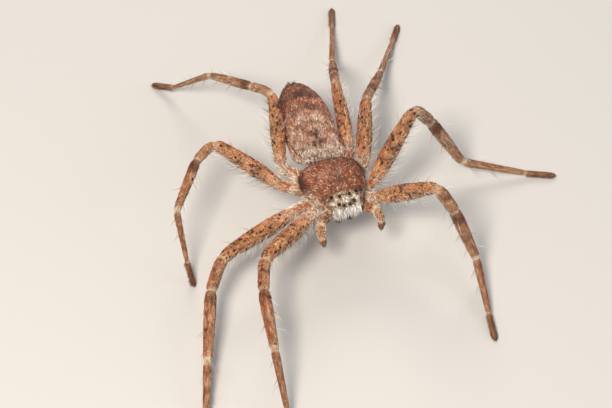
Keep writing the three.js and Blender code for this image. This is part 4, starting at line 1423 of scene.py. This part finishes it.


@dataclass
class Coat:
    """Makes the fur: thin tufts of solid mesh, bent or straight, rooted in the skin and laid along it."""

    body: Body

    def roots(self, chosen: np.ndarray, weight: np.ndarray, count: int,
              rng: np.random.Generator) -> tuple[np.ndarray, np.ndarray]:
        """Strews roots evenly over some faces of the skin.

        Args:
            chosen: The faces' numbers.
            weight: How densely hair grows on each, from 0 up.
            count: How many roots to make.
            rng: The seeded random numbers.

        Returns:
            The roots' points and the skin's normals there.
        """
        corners = self.body.faces[chosen]
        a, b, c = (self.body.points[corners[:, k]] for k in range(3))
        area = np.linalg.norm(np.cross(b - a, c - a), axis=1) / 2 * weight
        total = np.cumsum(area)
        picks = (np.arange(count) + rng.random(count)) / count * total[-1]
        face = np.minimum(np.searchsorted(total, picks), len(chosen) - 1)
        u, v = rng.random(count), rng.random(count)
        over = u + v > 1
        u[over], v[over] = 1 - u[over], 1 - v[over]
        u, v = u[:, None], v[:, None]
        point = a[face] + u * (b[face] - a[face]) + v * (c[face] - a[face])
        n = self.body.normals[corners[face]]
        normal = unit(n[:, 0] * (1 - u - v) + n[:, 1] * u + n[:, 2] * v)
        return point, normal

    def tufts(self, growth: Growth, points: np.ndarray, normals: np.ndarray, facts: Facts, lie: np.ndarray,
              length: np.ndarray, marks: np.ndarray, rng: np.random.Generator) -> bpy.types.Object:
        """Builds one coat piece: a thin spike with three sides, bent or straight, for each root.

        Args:
            growth: The form of the tufts.
            points: The roots.
            normals: The skin's normals at the roots.
            facts: What is known of the roots.
            lie: The way that each tuft lies.
            length: Each tuft's length.
            marks: Each tuft's marks at its root, middle and tip.
            rng: The seeded random numbers.

        Returns:
            The coat piece.
        """
        count = len(points)
        flat = unit(lie - (lie * normals).sum(1)[:, None] * normals)
        side = np.cross(normals, flat)
        turn = np.radians(rng.normal(0, growth.spread, count))[:, None]
        way = np.cos(turn) * flat + np.sin(turn) * side
        more = turn + np.radians(rng.normal(0, growth.curl, count))[:, None]
        tip_way = np.cos(more) * flat + np.sin(more) * side
        lift = np.radians(growth.lift * rng.uniform(0.6, 1.4, count))[:, None]
        tip_lift = np.radians(growth.tip_lift + rng.normal(0, 6, count))[:, None]
        first = np.cos(lift) * way + np.sin(lift) * normals
        second = np.cos(tip_lift) * tip_way + np.sin(tip_lift) * normals
        size = length[:, None]
        root = points - normals * ROOT_DEPTH
        if growth.bent:
            middle = root + first * size * 0.5
            tip = middle + second * size * 0.5
            rings, pattern, stations = ((root, 1.0), (middle, 0.8)), BENT_TUFT, BENT_STATIONS
        else:
            tip = root + unit(first + second) * size
            rings, pattern, stations = ((root, 1.0),), STRAIGHT_TUFT, STRAIGHT_STATIONS
        across = unit(np.cross(first, normals))
        above = unit(np.cross(across, first))
        width = (growth.width * rng.uniform(0.75, 1.25, count))[:, None] / 2
        flatness = 0.75  # a tuft's depth as a share of its width
        ring = []
        for centre, scale in rings:
            for angle in (90, 210, 330):
                c, s = math.cos(math.radians(angle)), math.sin(math.radians(angle))
                ring.append(centre + width * scale * (across * c + above * s * flatness))
        verts = np.stack([*ring, tip], 1)
        verts[..., 2] = np.maximum(verts[..., 2], 0.0)
        corners = len(stations)
        faces = (pattern[None] + (np.arange(count) * corners)[:, None, None]).reshape(-1, 3)
        piece = self.body.shop.mesh(growth.name, verts.reshape(-1, 3), faces)
        keep_values(piece.data, "marks", marks[:, stations].reshape(-1, 3))
        keep_values(piece.data, "grain", np.repeat(grain_of(points, facts), corners, axis=0))
        shade = rng.uniform(*growth.tone, count)
        keep_values(piece.data, "tone", (shade[:, None] * PAINTED_TUFT_SHADING[stations][None]).ravel())
        self.unwrap(piece, points, facts, faces, corners)
        piece.data.materials.append(growth.finish.material())
        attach(piece, "root")
        log.info("%s: %d tufts, %d triangles", growth.name, count, len(faces))
        return piece

    @staticmethod
    def unwrap(piece: bpy.types.Object, points: np.ndarray, facts: Facts, faces: np.ndarray,
               corners: int) -> None:
        """Gives each tuft a small patch at its root's place on an unrolled skin.

        A limb is a strip, as long as the limb and once round it. The body is seen from above in one half of
        the map and from below in the other.

        Args:
            piece: The coat piece.
            points: The roots.
            facts: What is known of the roots.
            faces: The corners of the piece's faces.
            corners: How many points each tuft has, the tip being the last.
        """
        limbs = np.unique(facts.limb)
        row = np.searchsorted(limbs, facts.limb)
        angle = np.arctan2(facts.high, facts.front) / (2 * np.pi) + 0.5
        low, high = points.min(0), points.max(0)
        share = (points - low) / np.maximum(high - low, 1e-6)
        limb_u = (facts.run - facts.run.min()) / max(np.ptp(facts.run), 1e-6)
        on_limb = facts.limb >= 0
        half, gap, margin, edge, reach = 0.48, 0.04, 0.02, 0.004, 0.0015  # all as shares of the map's width
        body_u = share[:, 0] * half + np.where(facts.high < 0, half + gap, 0)
        u = np.where(on_limb, limb_u, body_u)
        v = (row + margin + (1 - 2 * margin) * np.where(on_limb, angle, share[:, 1])) / len(limbs)
        centre = edge + (1 - 2 * edge) * np.stack([u, v], 1)
        turn = np.radians([90, 210, 330, 30, 150, 270])[:corners - 1]
        spots = np.vstack([np.stack([np.cos(turn), np.sin(turn)], 1), [[0, 0]]]) * reach
        uv = (centre[:, None] + spots[None]).reshape(-1, 2)
        layer = piece.data.uv_layers.new(name="OFBake")
        layer.data.foreach_set("uv", uv[faces.ravel()].astype(np.float32).ravel())


CARAPACE_FUR = Growth("carapace_coat", CARAPACE_HAIR, "carapace", per_mm2=72, length=0.62, width=0.12,
                      lift=18, tip_lift=6, spread=34, curl=50, tone=(0.35, 1.6), seed=11, dark_hairs=0.3,
                      pale_hairs=0.2)
ABDOMEN_FUR = Growth("abdomen_coat", ABDOMEN_HAIR, "abdomen", per_mm2=50, length=0.5, width=0.125, lift=20,
                     tip_lift=10, spread=24, curl=26, tone=(0.55, 1.3), seed=12, dark_hairs=0.2,
                     pale_hairs=0.22, warm_hairs=0.22)
UNDERSIDE_FUR = Growth("underside_coat", UNDERSIDE_HAIR, "underside", per_mm2=26, length=0.7, width=0.12,
                       lift=22, tip_lift=8, spread=18, curl=20, tone=(0.65, 1.25), seed=13)
LEG_FUR = Growth("coat", LEG_HAIR, "leg", per_mm2=100, length=0.32, width=0.115, lift=22, tip_lift=12,
                 spread=26, curl=16, tone=(0.5, 1.4), seed=14, dark_hairs=0.06, pale_hairs=0.28,
                 warm_hairs=0.14, bent=False)
# Short dark hairs that stand a little higher than the rest and make the dots
LEG_DOTS = Growth("dots", LEG_HAIR, "leg", per_mm2=130, length=0.26, width=0.15, lift=34, tip_lift=24,
                  spread=20, curl=10, tone=(0.7, 1.1), seed=16, dark_hairs=1.0, bent=False)
LEG_SETAE = Growth("setae", WHITE_BRISTLE, "hair", per_mm2=1.6, length=2.2, width=0.06, lift=50, tip_lift=30,
                   spread=6, curl=4, tone=(0.6, 1.1), seed=40, dark_hairs=0.5, pale_hairs=0.3,
                   warm_hairs=0.15)
HIP_FUR = Growth("hip_coat", UNDERSIDE_HAIR, "underside", per_mm2=20, length=0.8, width=0.11, lift=28,
                 tip_lift=12, spread=28, curl=26, tone=(0.6, 1.4), seed=15, dark_hairs=0.16, pale_hairs=0.45)
PALP_FUR = Growth("palp_coat", LEG_HAIR, "leg", per_mm2=80, length=0.42, width=0.11, lift=26, tip_lift=12,
                  spread=22, curl=20, tone=(0.5, 1.45), seed=30)
FACE_FUR = Growth("face_coat", WHITE_BRISTLE, "hair", per_mm2=75, length=0.48, width=0.115, lift=26,
                  tip_lift=8, spread=30, curl=26, tone=(0.7, 1.5), seed=50, dark_hairs=0.18, pale_hairs=0.6,
                  warm_hairs=0.14)
CLYPEUS_FRINGE = Growth("clypeus_fringe", WHITE_BRISTLE, "hair", per_mm2=34, length=1.25, width=0.12, lift=34,
                        tip_lift=12, spread=14, curl=10, tone=(0.5, 1.4), seed=51, dark_hairs=0.15,
                        pale_hairs=0.4, warm_hairs=0.08)
ABDOMEN_BRUSH = Growth("abdomen_brush", ABDOMEN_HAIR, "hair", per_mm2=15, length=1.0, width=0.085, lift=32,
                       tip_lift=14, spread=18, curl=16, tone=(0.75, 1.3), seed=52, dark_hairs=0.08)
FOOT_PADS = Growth("foot_pads", LEG_HAIR, "foot", per_mm2=110, length=0.4, width=0.06, lift=45, tip_lift=45,
                   spread=15, curl=10, tone=(0.5, 0.9), seed=53)
EYE_CLEARANCE = 1.25  # how far from an eye's middle hair grows, in the eye's radii


@dataclass
class CoatMaker:
    """Grows every coat piece of the spider."""

    body: Body
    markings: Markings
    coat: Coat = field(init=False)
    centres: np.ndarray = field(init=False)
    area: np.ndarray = field(init=False)
    facts: Facts = field(init=False)
    thin: float = field(init=False)

    def __post_init__(self) -> None:
        """Measures each face of the skin and finds what is known of its middle."""
        self.coat = Coat(self.body)
        corners = self.body.points[self.body.faces]
        self.centres = corners.mean(1)
        self.area = np.linalg.norm(
            np.cross(corners[:, 1] - corners[:, 0], corners[:, 2] - corners[:, 0]), axis=1) / 2
        self.facts = self.body.locate(self.centres)
        self.thin = 1.0

    def grow(self, growth: Growth, chosen: np.ndarray, weight: np.ndarray | None = None,
             lie: np.ndarray | None = None, limits: tuple[float, float] | None = None,
             pale: float | None = None) -> bpy.types.Object | None:
        """Grows one coat piece.

        Args:
            growth: How it grows.
            chosen: The faces of the skin that it grows on.
            weight: How densely it grows on each of those faces, or None for evenly.
            lie: One way that all its tufts lie, or None for the skin's own.
            limits: The shortest and longest tuft as shares of the growth's length.
            pale: How pale all its tufts are, or None for the skin's markings.

        Returns:
            The piece, or None where it has no room.
        """
        rng = np.random.default_rng(growth.seed)
        if weight is None:
            weight = np.ones(len(chosen))
        count = int((self.area[chosen] * weight).sum() * growth.per_mm2 * self.thin)
        if count < 3:
            return None
        points, normals = self.coat.roots(chosen, weight, count, rng)
        facts = self.body.locate(points)
        shortest, longest = limits or (1 - growth.vary, 1 + growth.vary)
        length = growth.length * rng.uniform(shortest, longest, count)
        if growth.slot == "leg":
            length = length * (0.62 + 0.38 * smooth(5.6, 1.5, facts.course))
        way = facts.lie if lie is None else np.tile(lie, (count, 1))
        marks = np.tile([0.0, 0.05, pale or 0.0], (count, 3, 1))
        if pale is None:
            for station, share in enumerate((0.0, 0.5, 0.95) if growth.bent else (0.5, 0.5, 0.5)):
                marks[:, station] = self.markings.read(points + way * (length * share)[:, None], facts)
        kind = rng.random(count)[:, None]
        strength = rng.uniform(0.35, 0.8, count)[:, None]
        edges = np.cumsum([growth.dark_hairs, growth.pale_hairs, growth.warm_hairs])
        marks[..., 0] += strength * (kind < edges[0])
        marks[..., 2] += strength * ((kind >= edges[0]) & (kind < edges[1])) * (1 - 0.8 * marks[..., 0])
        marks[..., 1] += strength * ((kind >= edges[1]) & (kind < edges[2]))
        return self.coat.tufts(growth, points, normals, facts, way, length, np.clip(marks, 0, 1), rng)

    def on(self, *regions: Region) -> np.ndarray:
        """Says for each face of the skin whether it is in one of some regions."""
        return np.isin(self.facts.region, [r.value for r in regions])

    def build(self) -> None:
        """Grows all the coats."""
        y, z = self.centres[:, 1], self.centres[:, 2]
        aside = np.abs(self.centres[:, 0]) - self.markings.face_reach(y)
        self.grow(CARAPACE_FUR, np.flatnonzero(self.on(Region.CARAPACE) & ((y > -3.1) | (aside > -0.15))))
        self.grow(ABDOMEN_FUR, np.flatnonzero(self.on(Region.ABDOMEN, Region.SPINNERET)))
        self.grow(UNDERSIDE_FUR, np.flatnonzero(self.on(Region.UNDERSIDE)))
        self.grow(PALP_FUR, np.flatnonzero(self.on(Region.PALP)))
        for number, pose in enumerate(LEG_POSES):
            self.leg_coats(number, pose)
        hips = self.on(Region.LEG) & (self.facts.course < 1.1) & (self.facts.high > -0.5)
        hips |= self.on(Region.UNDERSIDE) & (z > 7.2)
        self.grow(HIP_FUR, np.flatnonzero(hips))
        face = self.on(Region.CARAPACE) & (y < -2.7) & (aside < 0.1)
        self.grow(FACE_FUR, np.flatnonzero(face & self.clear_of_eyes()))
        edge = self.on(Region.CARAPACE) & (y < -4.0) & (z < 9.6) & (z > 8.4) & (aside < 0.15)
        self.grow(CLYPEUS_FRINGE, np.flatnonzero(edge), lie=np.array([0.0, -0.5, -0.85]), pale=1.0)
        own = ABDOMEN_FORM.unturn(self.centres)
        front = np.flatnonzero(self.on(Region.ABDOMEN) & (own[:, 1] < 6.4) & (own[:, 2] > 9.3))
        weight = smooth(6.4, 5.2, own[front, 1]) + 0.9 * smooth(2.0, 3.0, np.abs(own[front, 0]))
        self.grow(ABDOMEN_BRUSH, front, weight, lie=np.array([0.05, -1.0, -0.1]), pale=0.85)
        sole = self.on(Region.LEG) & (self.facts.course > 5.0) & (self.facts.high < -0.2)
        self.grow(FOOT_PADS, np.flatnonzero(sole))

    def clear_of_eyes(self) -> np.ndarray:
        """Says for each face of the skin whether it is clear of the eyes."""
        clear = np.ones(len(self.centres), bool)
        for x, y, radius in EYES.values():
            for sign in (-1, 1):
                gap = np.hypot(self.centres[:, 0] - sign * x, self.centres[:, 1] - y)
                clear &= gap > radius * EYE_CLEARANCE
        return clear

    def leg_coats(self, number: int, pose: LegPose) -> None:
        """Grows one leg's short coat, its dark dots and its long hairs, densest under and behind the femur.

        Args:
            number: The leg's place in LEG_POSES.
            pose: How it stands, with its name.
        """
        own = np.flatnonzero(self.on(Region.LEG) & (self.facts.limb == number))
        facts = self.facts.take(own)
        coat, spots, setae = (
            replace(growth, name=f"{pose.name}_{growth.name}", seed=growth.seed * 100 + number)
            for growth in (LEG_FUR, LEG_DOTS, LEG_SETAE))
        self.grow(coat, own)
        self.grow(spots, own[self.markings.leg_dots(self.centres[own], facts) > 0.4])
        under = smooth(0.25, -0.35, facts.high * 0.75 - 0.65 * facts.front) * smooth(-0.95, -0.6, facts.high)
        femur = smooth(1.0, 1.15, facts.course) * smooth(2.1, 1.85, facts.course)
        weight = under * (0.3 + 3.4 * femur) + 0.12
        weight *= smooth(0.3, 0.8, facts.course) * smooth(5.2, 4.4, facts.course)
        self.grow(setae, own, weight, limits=(0.45, 1.25), pale=0.75)


@dataclass
class Eyes:
    """The eight eyes: polished lenses, each in a thin waxy rim.

    Lengths are in an eye's own radii, but for the rim's thickness.
    """

    shop: Workshop
    rise: float = 0.3  # how far a lens's middle stands above the carapace
    lens_scale: float = 1.15  # how much wider a lens looks than the solid eye, with its clear edge
    flatness: float = 0.94  # a lens's height as a share of its width
    rim_scale: float = 1.1  # the rim's radius over the lens's
    rim_drop: float = 0.1  # how far the rim lies below the lens's middle
    rim_height: float = 1.3  # the rim's height as a share of its thickness
    rim_thickness: float = 0.036  # the radius of its round section in millimetres

    def build(self) -> None:
        """Builds the lenses, which stand for the eye nodes, and the rims."""
        lens = EYE_LENS.material()
        rims = []
        for side in Side:
            for name, (x, y, radius) in EYES.items():
                where = (side.value * x, y)
                normal = carapace_normal(*where)
                centre = np.array([*where, carapace_height(*where)]) + normal * self.rise * radius
                points, faces = self.ball(centre, normal, radius)
                eye = self.shop.mesh(f"lens_{name}_{side.name.lower()}", points, faces)
                eye.data.materials.append(lens)
                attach(eye, "root")
                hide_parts(f"eye_{name}_{side.name.lower()}")
                rims.append(self.rim(centre, normal, radius))
        piece = self.shop.mesh("eye_rims", *joined(rims))
        piece.data.materials.append(EYE_RIM.material())
        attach(piece, "root")
        log.info("eyes: 8 lenses and their rims")

    @staticmethod
    def axes(normal: np.ndarray) -> tuple[np.ndarray, np.ndarray]:
        """Two ways across an eye, square to its axis and to each other."""
        across = unit(np.cross(normal, np.array([0.0, 1.0, 0.3])))
        return across, np.cross(normal, across)

    def ball(self, centre: np.ndarray, normal: np.ndarray, radius: float) -> tuple[np.ndarray, np.ndarray]:
        """Makes a smooth lens, a little flatter along its axis than a ball.

        Args:
            centre: The lens's middle.
            normal: Its axis.
            radius: The solid eye's radius.

        Returns:
            Its points and the corners of its faces.
        """
        sides, rings = 32, 17
        polar = np.linspace(0, np.pi, rings + 2)[1:-1]
        pole = normal * self.flatness
        round_axis = circle(*self.axes(normal), sides)
        ring = np.sin(polar)[:, None, None] * round_axis + np.cos(polar)[:, None, None] * pole
        points = centre + radius * self.lens_scale * np.vstack([ring.reshape(-1, 3), pole, -pole])
        return points, tube_faces(rings, sides)[:, ::-1]

    def rim(self, centre: np.ndarray, normal: np.ndarray, radius: float) -> tuple[np.ndarray, np.ndarray]:
        """Makes a thin ring of bare cuticle round a lens, leaning on the carapace.

        Args:
            centre: The lens's middle.
            normal: Its axis.
            radius: The solid eye's radius.

        Returns:
            Its points and the corners of its faces.
        """
        sides, parts = 36, 8
        out = circle(*self.axes(normal), sides)
        small = 2 * np.pi * np.arange(parts) / parts
        reach = radius * self.lens_scale * self.rim_scale
        middle = centre - normal * self.rim_drop * radius + out * reach
        section = (out[:, None] * np.cos(small)[None, :, None]
                   + normal * self.rim_height * np.sin(small)[None, :, None])
        points = middle[:, None] + self.rim_thickness * section
        walls = tube_faces(sides + 1, parts)[:2 * sides * parts, ::-1]
        return points.reshape(-1, 3), walls % (sides * parts)


# Rows of leg spines: segment, name, degrees round from the front side, the shares of the segment where the
# row begins and ends, how many spines, and the degrees that they lean towards the foot
SPINE_ROWS = (
    (1, "femur_top", 92, 0.3, 0.78, 3, 25),
    (1, "femur_front", 20, 0.5, 0.76, 2, 40),
    (1, "femur_rear", 160, 0.58, 0.8, 2, 40),
    (3, "tibia_front", -55, 0.2, 0.8, 3, 42),
    (3, "tibia_rear", -125, 0.2, 0.8, 3, 42),
    (3, "tibia_side", 8, 0.4, 0.4, 1, 42),
    (3, "tibia_back", 172, 0.58, 0.58, 1, 42),
    (4, "metatarsus_front", -50, 0.14, 0.46, 2, 45),
    (4, "metatarsus_rear", -130, 0.14, 0.46, 2, 45),
)


@dataclass
class Horn:
    """The leg spines, the claws and the fangs: curved tapering horn."""

    body: Body
    spine_length: float = 1.75
    least_spine: float = 0.8  # a spine that would be shorter than this is left out
    floor_clearance: float = 0.35  # how far above the floor a spine's tip stays
    thin_radius: float = 0.055  # the root's radius of spines and claws
    claw_length: float = 0.5
    claw_aside: float = 0.12  # how far each claw's root is from the foot's middle, and back from its tip
    fang_root: tuple[float, float, float] = (CHELICERA_X + 0.1, -3.78, 5.98)
    fang_length: float = 0.85
    fang_radius: float = 0.18
    root_depth: float = 0.15  # how far a thorn's root is sunk in the skin

    def thorn(self, base: np.ndarray, way: np.ndarray, bend: np.ndarray, length: float, radius: float,
              sides: int = 6, steps: int = 5) -> tuple[np.ndarray, np.ndarray]:
        """Makes a curved tapering thorn.

        Args:
            base: Where it leaves the surface.
            way: The way that it leaves.
            bend: The way that its tip bends to.
            length: Its length.
            radius: Its radius at the root.
            sides: How many sides it has.
            steps: How many lengths it has.

        Returns:
            Its points and the corners of its faces.
        """
        share = np.linspace(0, 1, steps + 1)[:-1, None]
        start = base - way * self.root_depth
        line = start + (way * share + bend * share**2 * 0.5) * length
        tip = start + (way + bend * 0.5) * length
        across = unit(np.cross(way, bend + np.array([0.01, 0.02, 0.03])))
        taper = radius * (1 - share**1.5)
        rings = line[:, None] + taper[:, None] * circle(across, np.cross(across, way), sides)
        return np.vstack([rings.reshape(-1, 3), start, tip]), tube_faces(steps, sides)

    def gather(self, name: str, thorns: list[tuple[np.ndarray, np.ndarray]], finish: GlossFinish) -> bpy.types.Object:
        """Joins thorns to one piece with a finish.

        Args:
            name: The piece's name.
            thorns: The points and the faces of each.
            finish: What it is made of.

        Returns:
            The piece.
        """
        piece = self.body.shop.mesh(name, *joined(thorns))
        piece.data.materials.append(finish.material())
        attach(piece, "root")
        log.info("%s: %d thorns", name, len(thorns))
        return piece

    def spines(self) -> None:
        """Sets the strong spines of all the legs."""
        rng = np.random.default_rng(7)
        thorns = []
        for limb, pose in zip(self.body.limbs, LEG_POSES):
            for segment, name, turn, first, last, count, lean in SPINE_ROWS:
                if name in pose.bare:
                    continue
                for i in range(count):
                    share = first + (last - first) * (i / max(count - 1, 1)) + rng.uniform(-0.02, 0.02)
                    angle = math.radians(turn + rng.uniform(-9, 9))
                    tilt = math.radians(lean + rng.uniform(-7, 7))
                    course = np.array([segment + share])
                    place, ahead, across, over = (v[0] for v in limb.frames(course))
                    out = across * math.cos(angle) + over * math.sin(angle)
                    base = place + out * (limb.radius(course)[0] - COAT_DEPTH)
                    way = unit(out * math.cos(tilt) + ahead * math.sin(tilt))
                    length = self.spine_length * rng.uniform(0.86, 1.14)
                    if way[2] < 0:
                        length = min(length, (base[2] - self.floor_clearance) / -way[2])
                    if length > self.least_spine:
                        thorns.append(self.thorn(base, way, ahead * 0.25, length, self.thin_radius))
        self.gather("leg_spines", thorns, SPINE_HORN)

    def claws(self) -> None:
        """Sets two claws at each foot's tip."""
        thorns = []
        for limb in self.body.limbs[:len(LEG_POSES)]:
            tip = limb.line[-1]
            ahead = unit(limb.line[-1] - limb.line[-6])
            level = unit(np.array([ahead[0], ahead[1], 0.0]))
            across = np.cross(level, UP)
            for sign in (-1, 1):
                base = tip + (across * sign - level) * self.claw_aside
                base[2] = max(tip[2], 0.3)
                way = unit(level + across * sign * 0.25 + UP * 0.15)
                bend = unit(-UP + level * 0.2) * 0.9
                thorns.append(self.thorn(base, way, bend, self.claw_length, self.thin_radius))
        for points, _ in thorns:
            points[:, 2] = np.maximum(points[:, 2], 0.0)
        self.gather("claws", thorns, CLAW_HORN)

    def fangs(self) -> None:
        """Sets the two folded fangs."""
        thorns = []
        for side in Side:
            base = np.array(self.fang_root) * (side.value, 1, 1)
            way = unit(np.array([-side.value * 0.75, 0.1, -0.5]))
            bend = np.array([-side.value * 0.3, 0.1, 0.5])
            thorns.append(self.thorn(base, way, bend, self.fang_length, self.fang_radius, sides=8, steps=8))
        self.gather("fangs", thorns, CLAW_HORN)

    def build(self) -> None:
        """Builds all the horn."""
        self.spines()
        self.claws()
        self.fangs()


@dataclass(frozen=True)
class Lamp:
    """A round soft light that points at the spider."""

    name: str
    place: tuple[float, float, float]
    size: float  # metres across
    power: float  # watts
    tint: str


LAMPS = (
    Lamp("key", (-150.0, -120.0, 280.0), 0.11, 1.35, "#fff6ea"),
    Lamp("fill", (230.0, -160.0, 160.0), 0.22, 0.3, "#eef3ff"),
    Lamp("rim", (60.0, 260.0, 200.0), 0.16, 0.55, "#fffaf2"),
)


@dataclass
class Studio:
    """The pale floor, the soft lights and the camera at the photo's viewing angle."""

    shop: Workshop
    azimuth: float = -24.0  # degrees round from straight in front
    elevation: float = 52.0
    roll: float = -3.0
    distance: float = 400.0
    target: tuple[float, float, float] = (0.0, 0.0, 9.0)
    target_pixel: tuple[float, float] = (335.0, 186.2)  # where the target lies in the photo
    focal_pixels: float = 2880.0
    image: tuple[int, int] = (612, 408)
    sensor: float = 36.0
    floor_reach: float = 600.0
    lamp_target: tuple[float, float, float] = (0.0, 0.0, 8.0)
    sky: str = "#e6e9ee"
    sky_strength: float = 0.42

    def camera(self) -> None:
        """Makes the camera."""
        a, e, r = (math.radians(v) for v in (self.azimuth, self.elevation, self.roll))
        back = np.array([math.sin(a) * math.cos(e), -math.cos(a) * math.cos(e), math.sin(e)])
        right = np.array([math.cos(a), math.sin(a), 0.0])
        up = np.cross(back, right)
        across = math.cos(r) * right - math.sin(r) * up
        upward = math.sin(r) * right + math.cos(r) * up
        aside = (self.image[0] / 2 - self.target_pixel[0]) / self.focal_pixels * self.distance
        below = (self.target_pixel[1] - self.image[1] / 2) / self.focal_pixels * self.distance
        eye = np.array(self.target) + back * self.distance + across * aside + upward * below
        place = self.shop.place(eye)
        data = bpy.data.cameras.new("camera")
        data.sensor_width = self.sensor
        data.lens = self.focal_pixels / self.image[0] * self.sensor
        data.clip_start = 0.01
        data.clip_end = 10.0
        camera = bpy.data.objects.new("camera", data)
        turn = Matrix([[across[i], upward[i], back[i]] for i in range(3)]).to_4x4()
        camera.matrix_world = Matrix.Translation(Vector(place)) @ turn
        bpy.context.scene.collection.objects.link(camera)
        bpy.context.scene.camera = camera

    def floor(self) -> None:
        """Makes a wide floor of matt pale paper."""
        corners = np.array([(-1.0, -1.0, 0.0), (1.0, -1.0, 0.0), (1.0, 1.0, 0.0), (-1.0, 1.0, 0.0)])
        floor = self.shop.mesh("floor", corners * self.floor_reach, np.array([[0, 1, 2, 3]]))
        floor.data.materials.append(STUDIO_PAPER.material())

    def lights(self) -> None:
        """Hangs three large soft lights and sets a dim even sky."""
        world = bpy.data.worlds.new("soft_room")
        tree = empty_tree(world)
        sky = add_node(tree, "ShaderNodeBackground", {},
                       {"Color": linear(self.sky), "Strength": self.sky_strength})
        add_node(tree, "ShaderNodeOutputWorld", inputs={"Surface": sky.outputs["Background"]})
        bpy.context.scene.world = world
        for lamp in LAMPS:
            data = bpy.data.lights.new(lamp.name, "AREA")
            data.shape = "DISK"
            data.size = lamp.size
            data.energy = lamp.power
            data.color = linear(lamp.tint)[:3]
            light = bpy.data.objects.new(lamp.name, data)
            spot = Vector(self.shop.place(np.array(lamp.place)))
            aim = Vector(self.shop.place(np.array(self.lamp_target))) - spot
            light.rotation_euler = aim.to_track_quat("-Z", "Y").to_euler()
            light.location = spot
            bpy.context.scene.collection.objects.link(light)

    def build(self) -> None:
        """Sets up the studio."""
        bpy.context.scene.view_settings.view_transform = "Standard"
        self.camera()
        self.floor()
        self.lights()


SKIN_FINISHES = {
    Region.LEG: LEG_HAIR,
    Region.CARAPACE: CARAPACE_HAIR,
    Region.ABDOMEN: ABDOMEN_HAIR,
    Region.UNDERSIDE: UNDERSIDE_HAIR,
    Region.PALP: LEG_HAIR,
    Region.CHELICERA: CHELICERA_CUTICLE,
    Region.SPINNERET: ABDOMEN_HAIR,
}


def main() -> None:
    """Builds the dressed spider in its studio."""
    logging.basicConfig(level=logging.INFO, format="%(message)s")
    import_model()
    shop = Workshop.from_frame()
    Studio(shop).build()
    markings = Markings()
    body = Body(shop)
    Skin(body, markings, SKIN_FINISHES).build()
    Eyes(shop).build()
    Horn(body).build()
    CoatMaker(body, markings).build()
    bpy.context.view_layer.update()


if __name__ == "__main__":
    main()
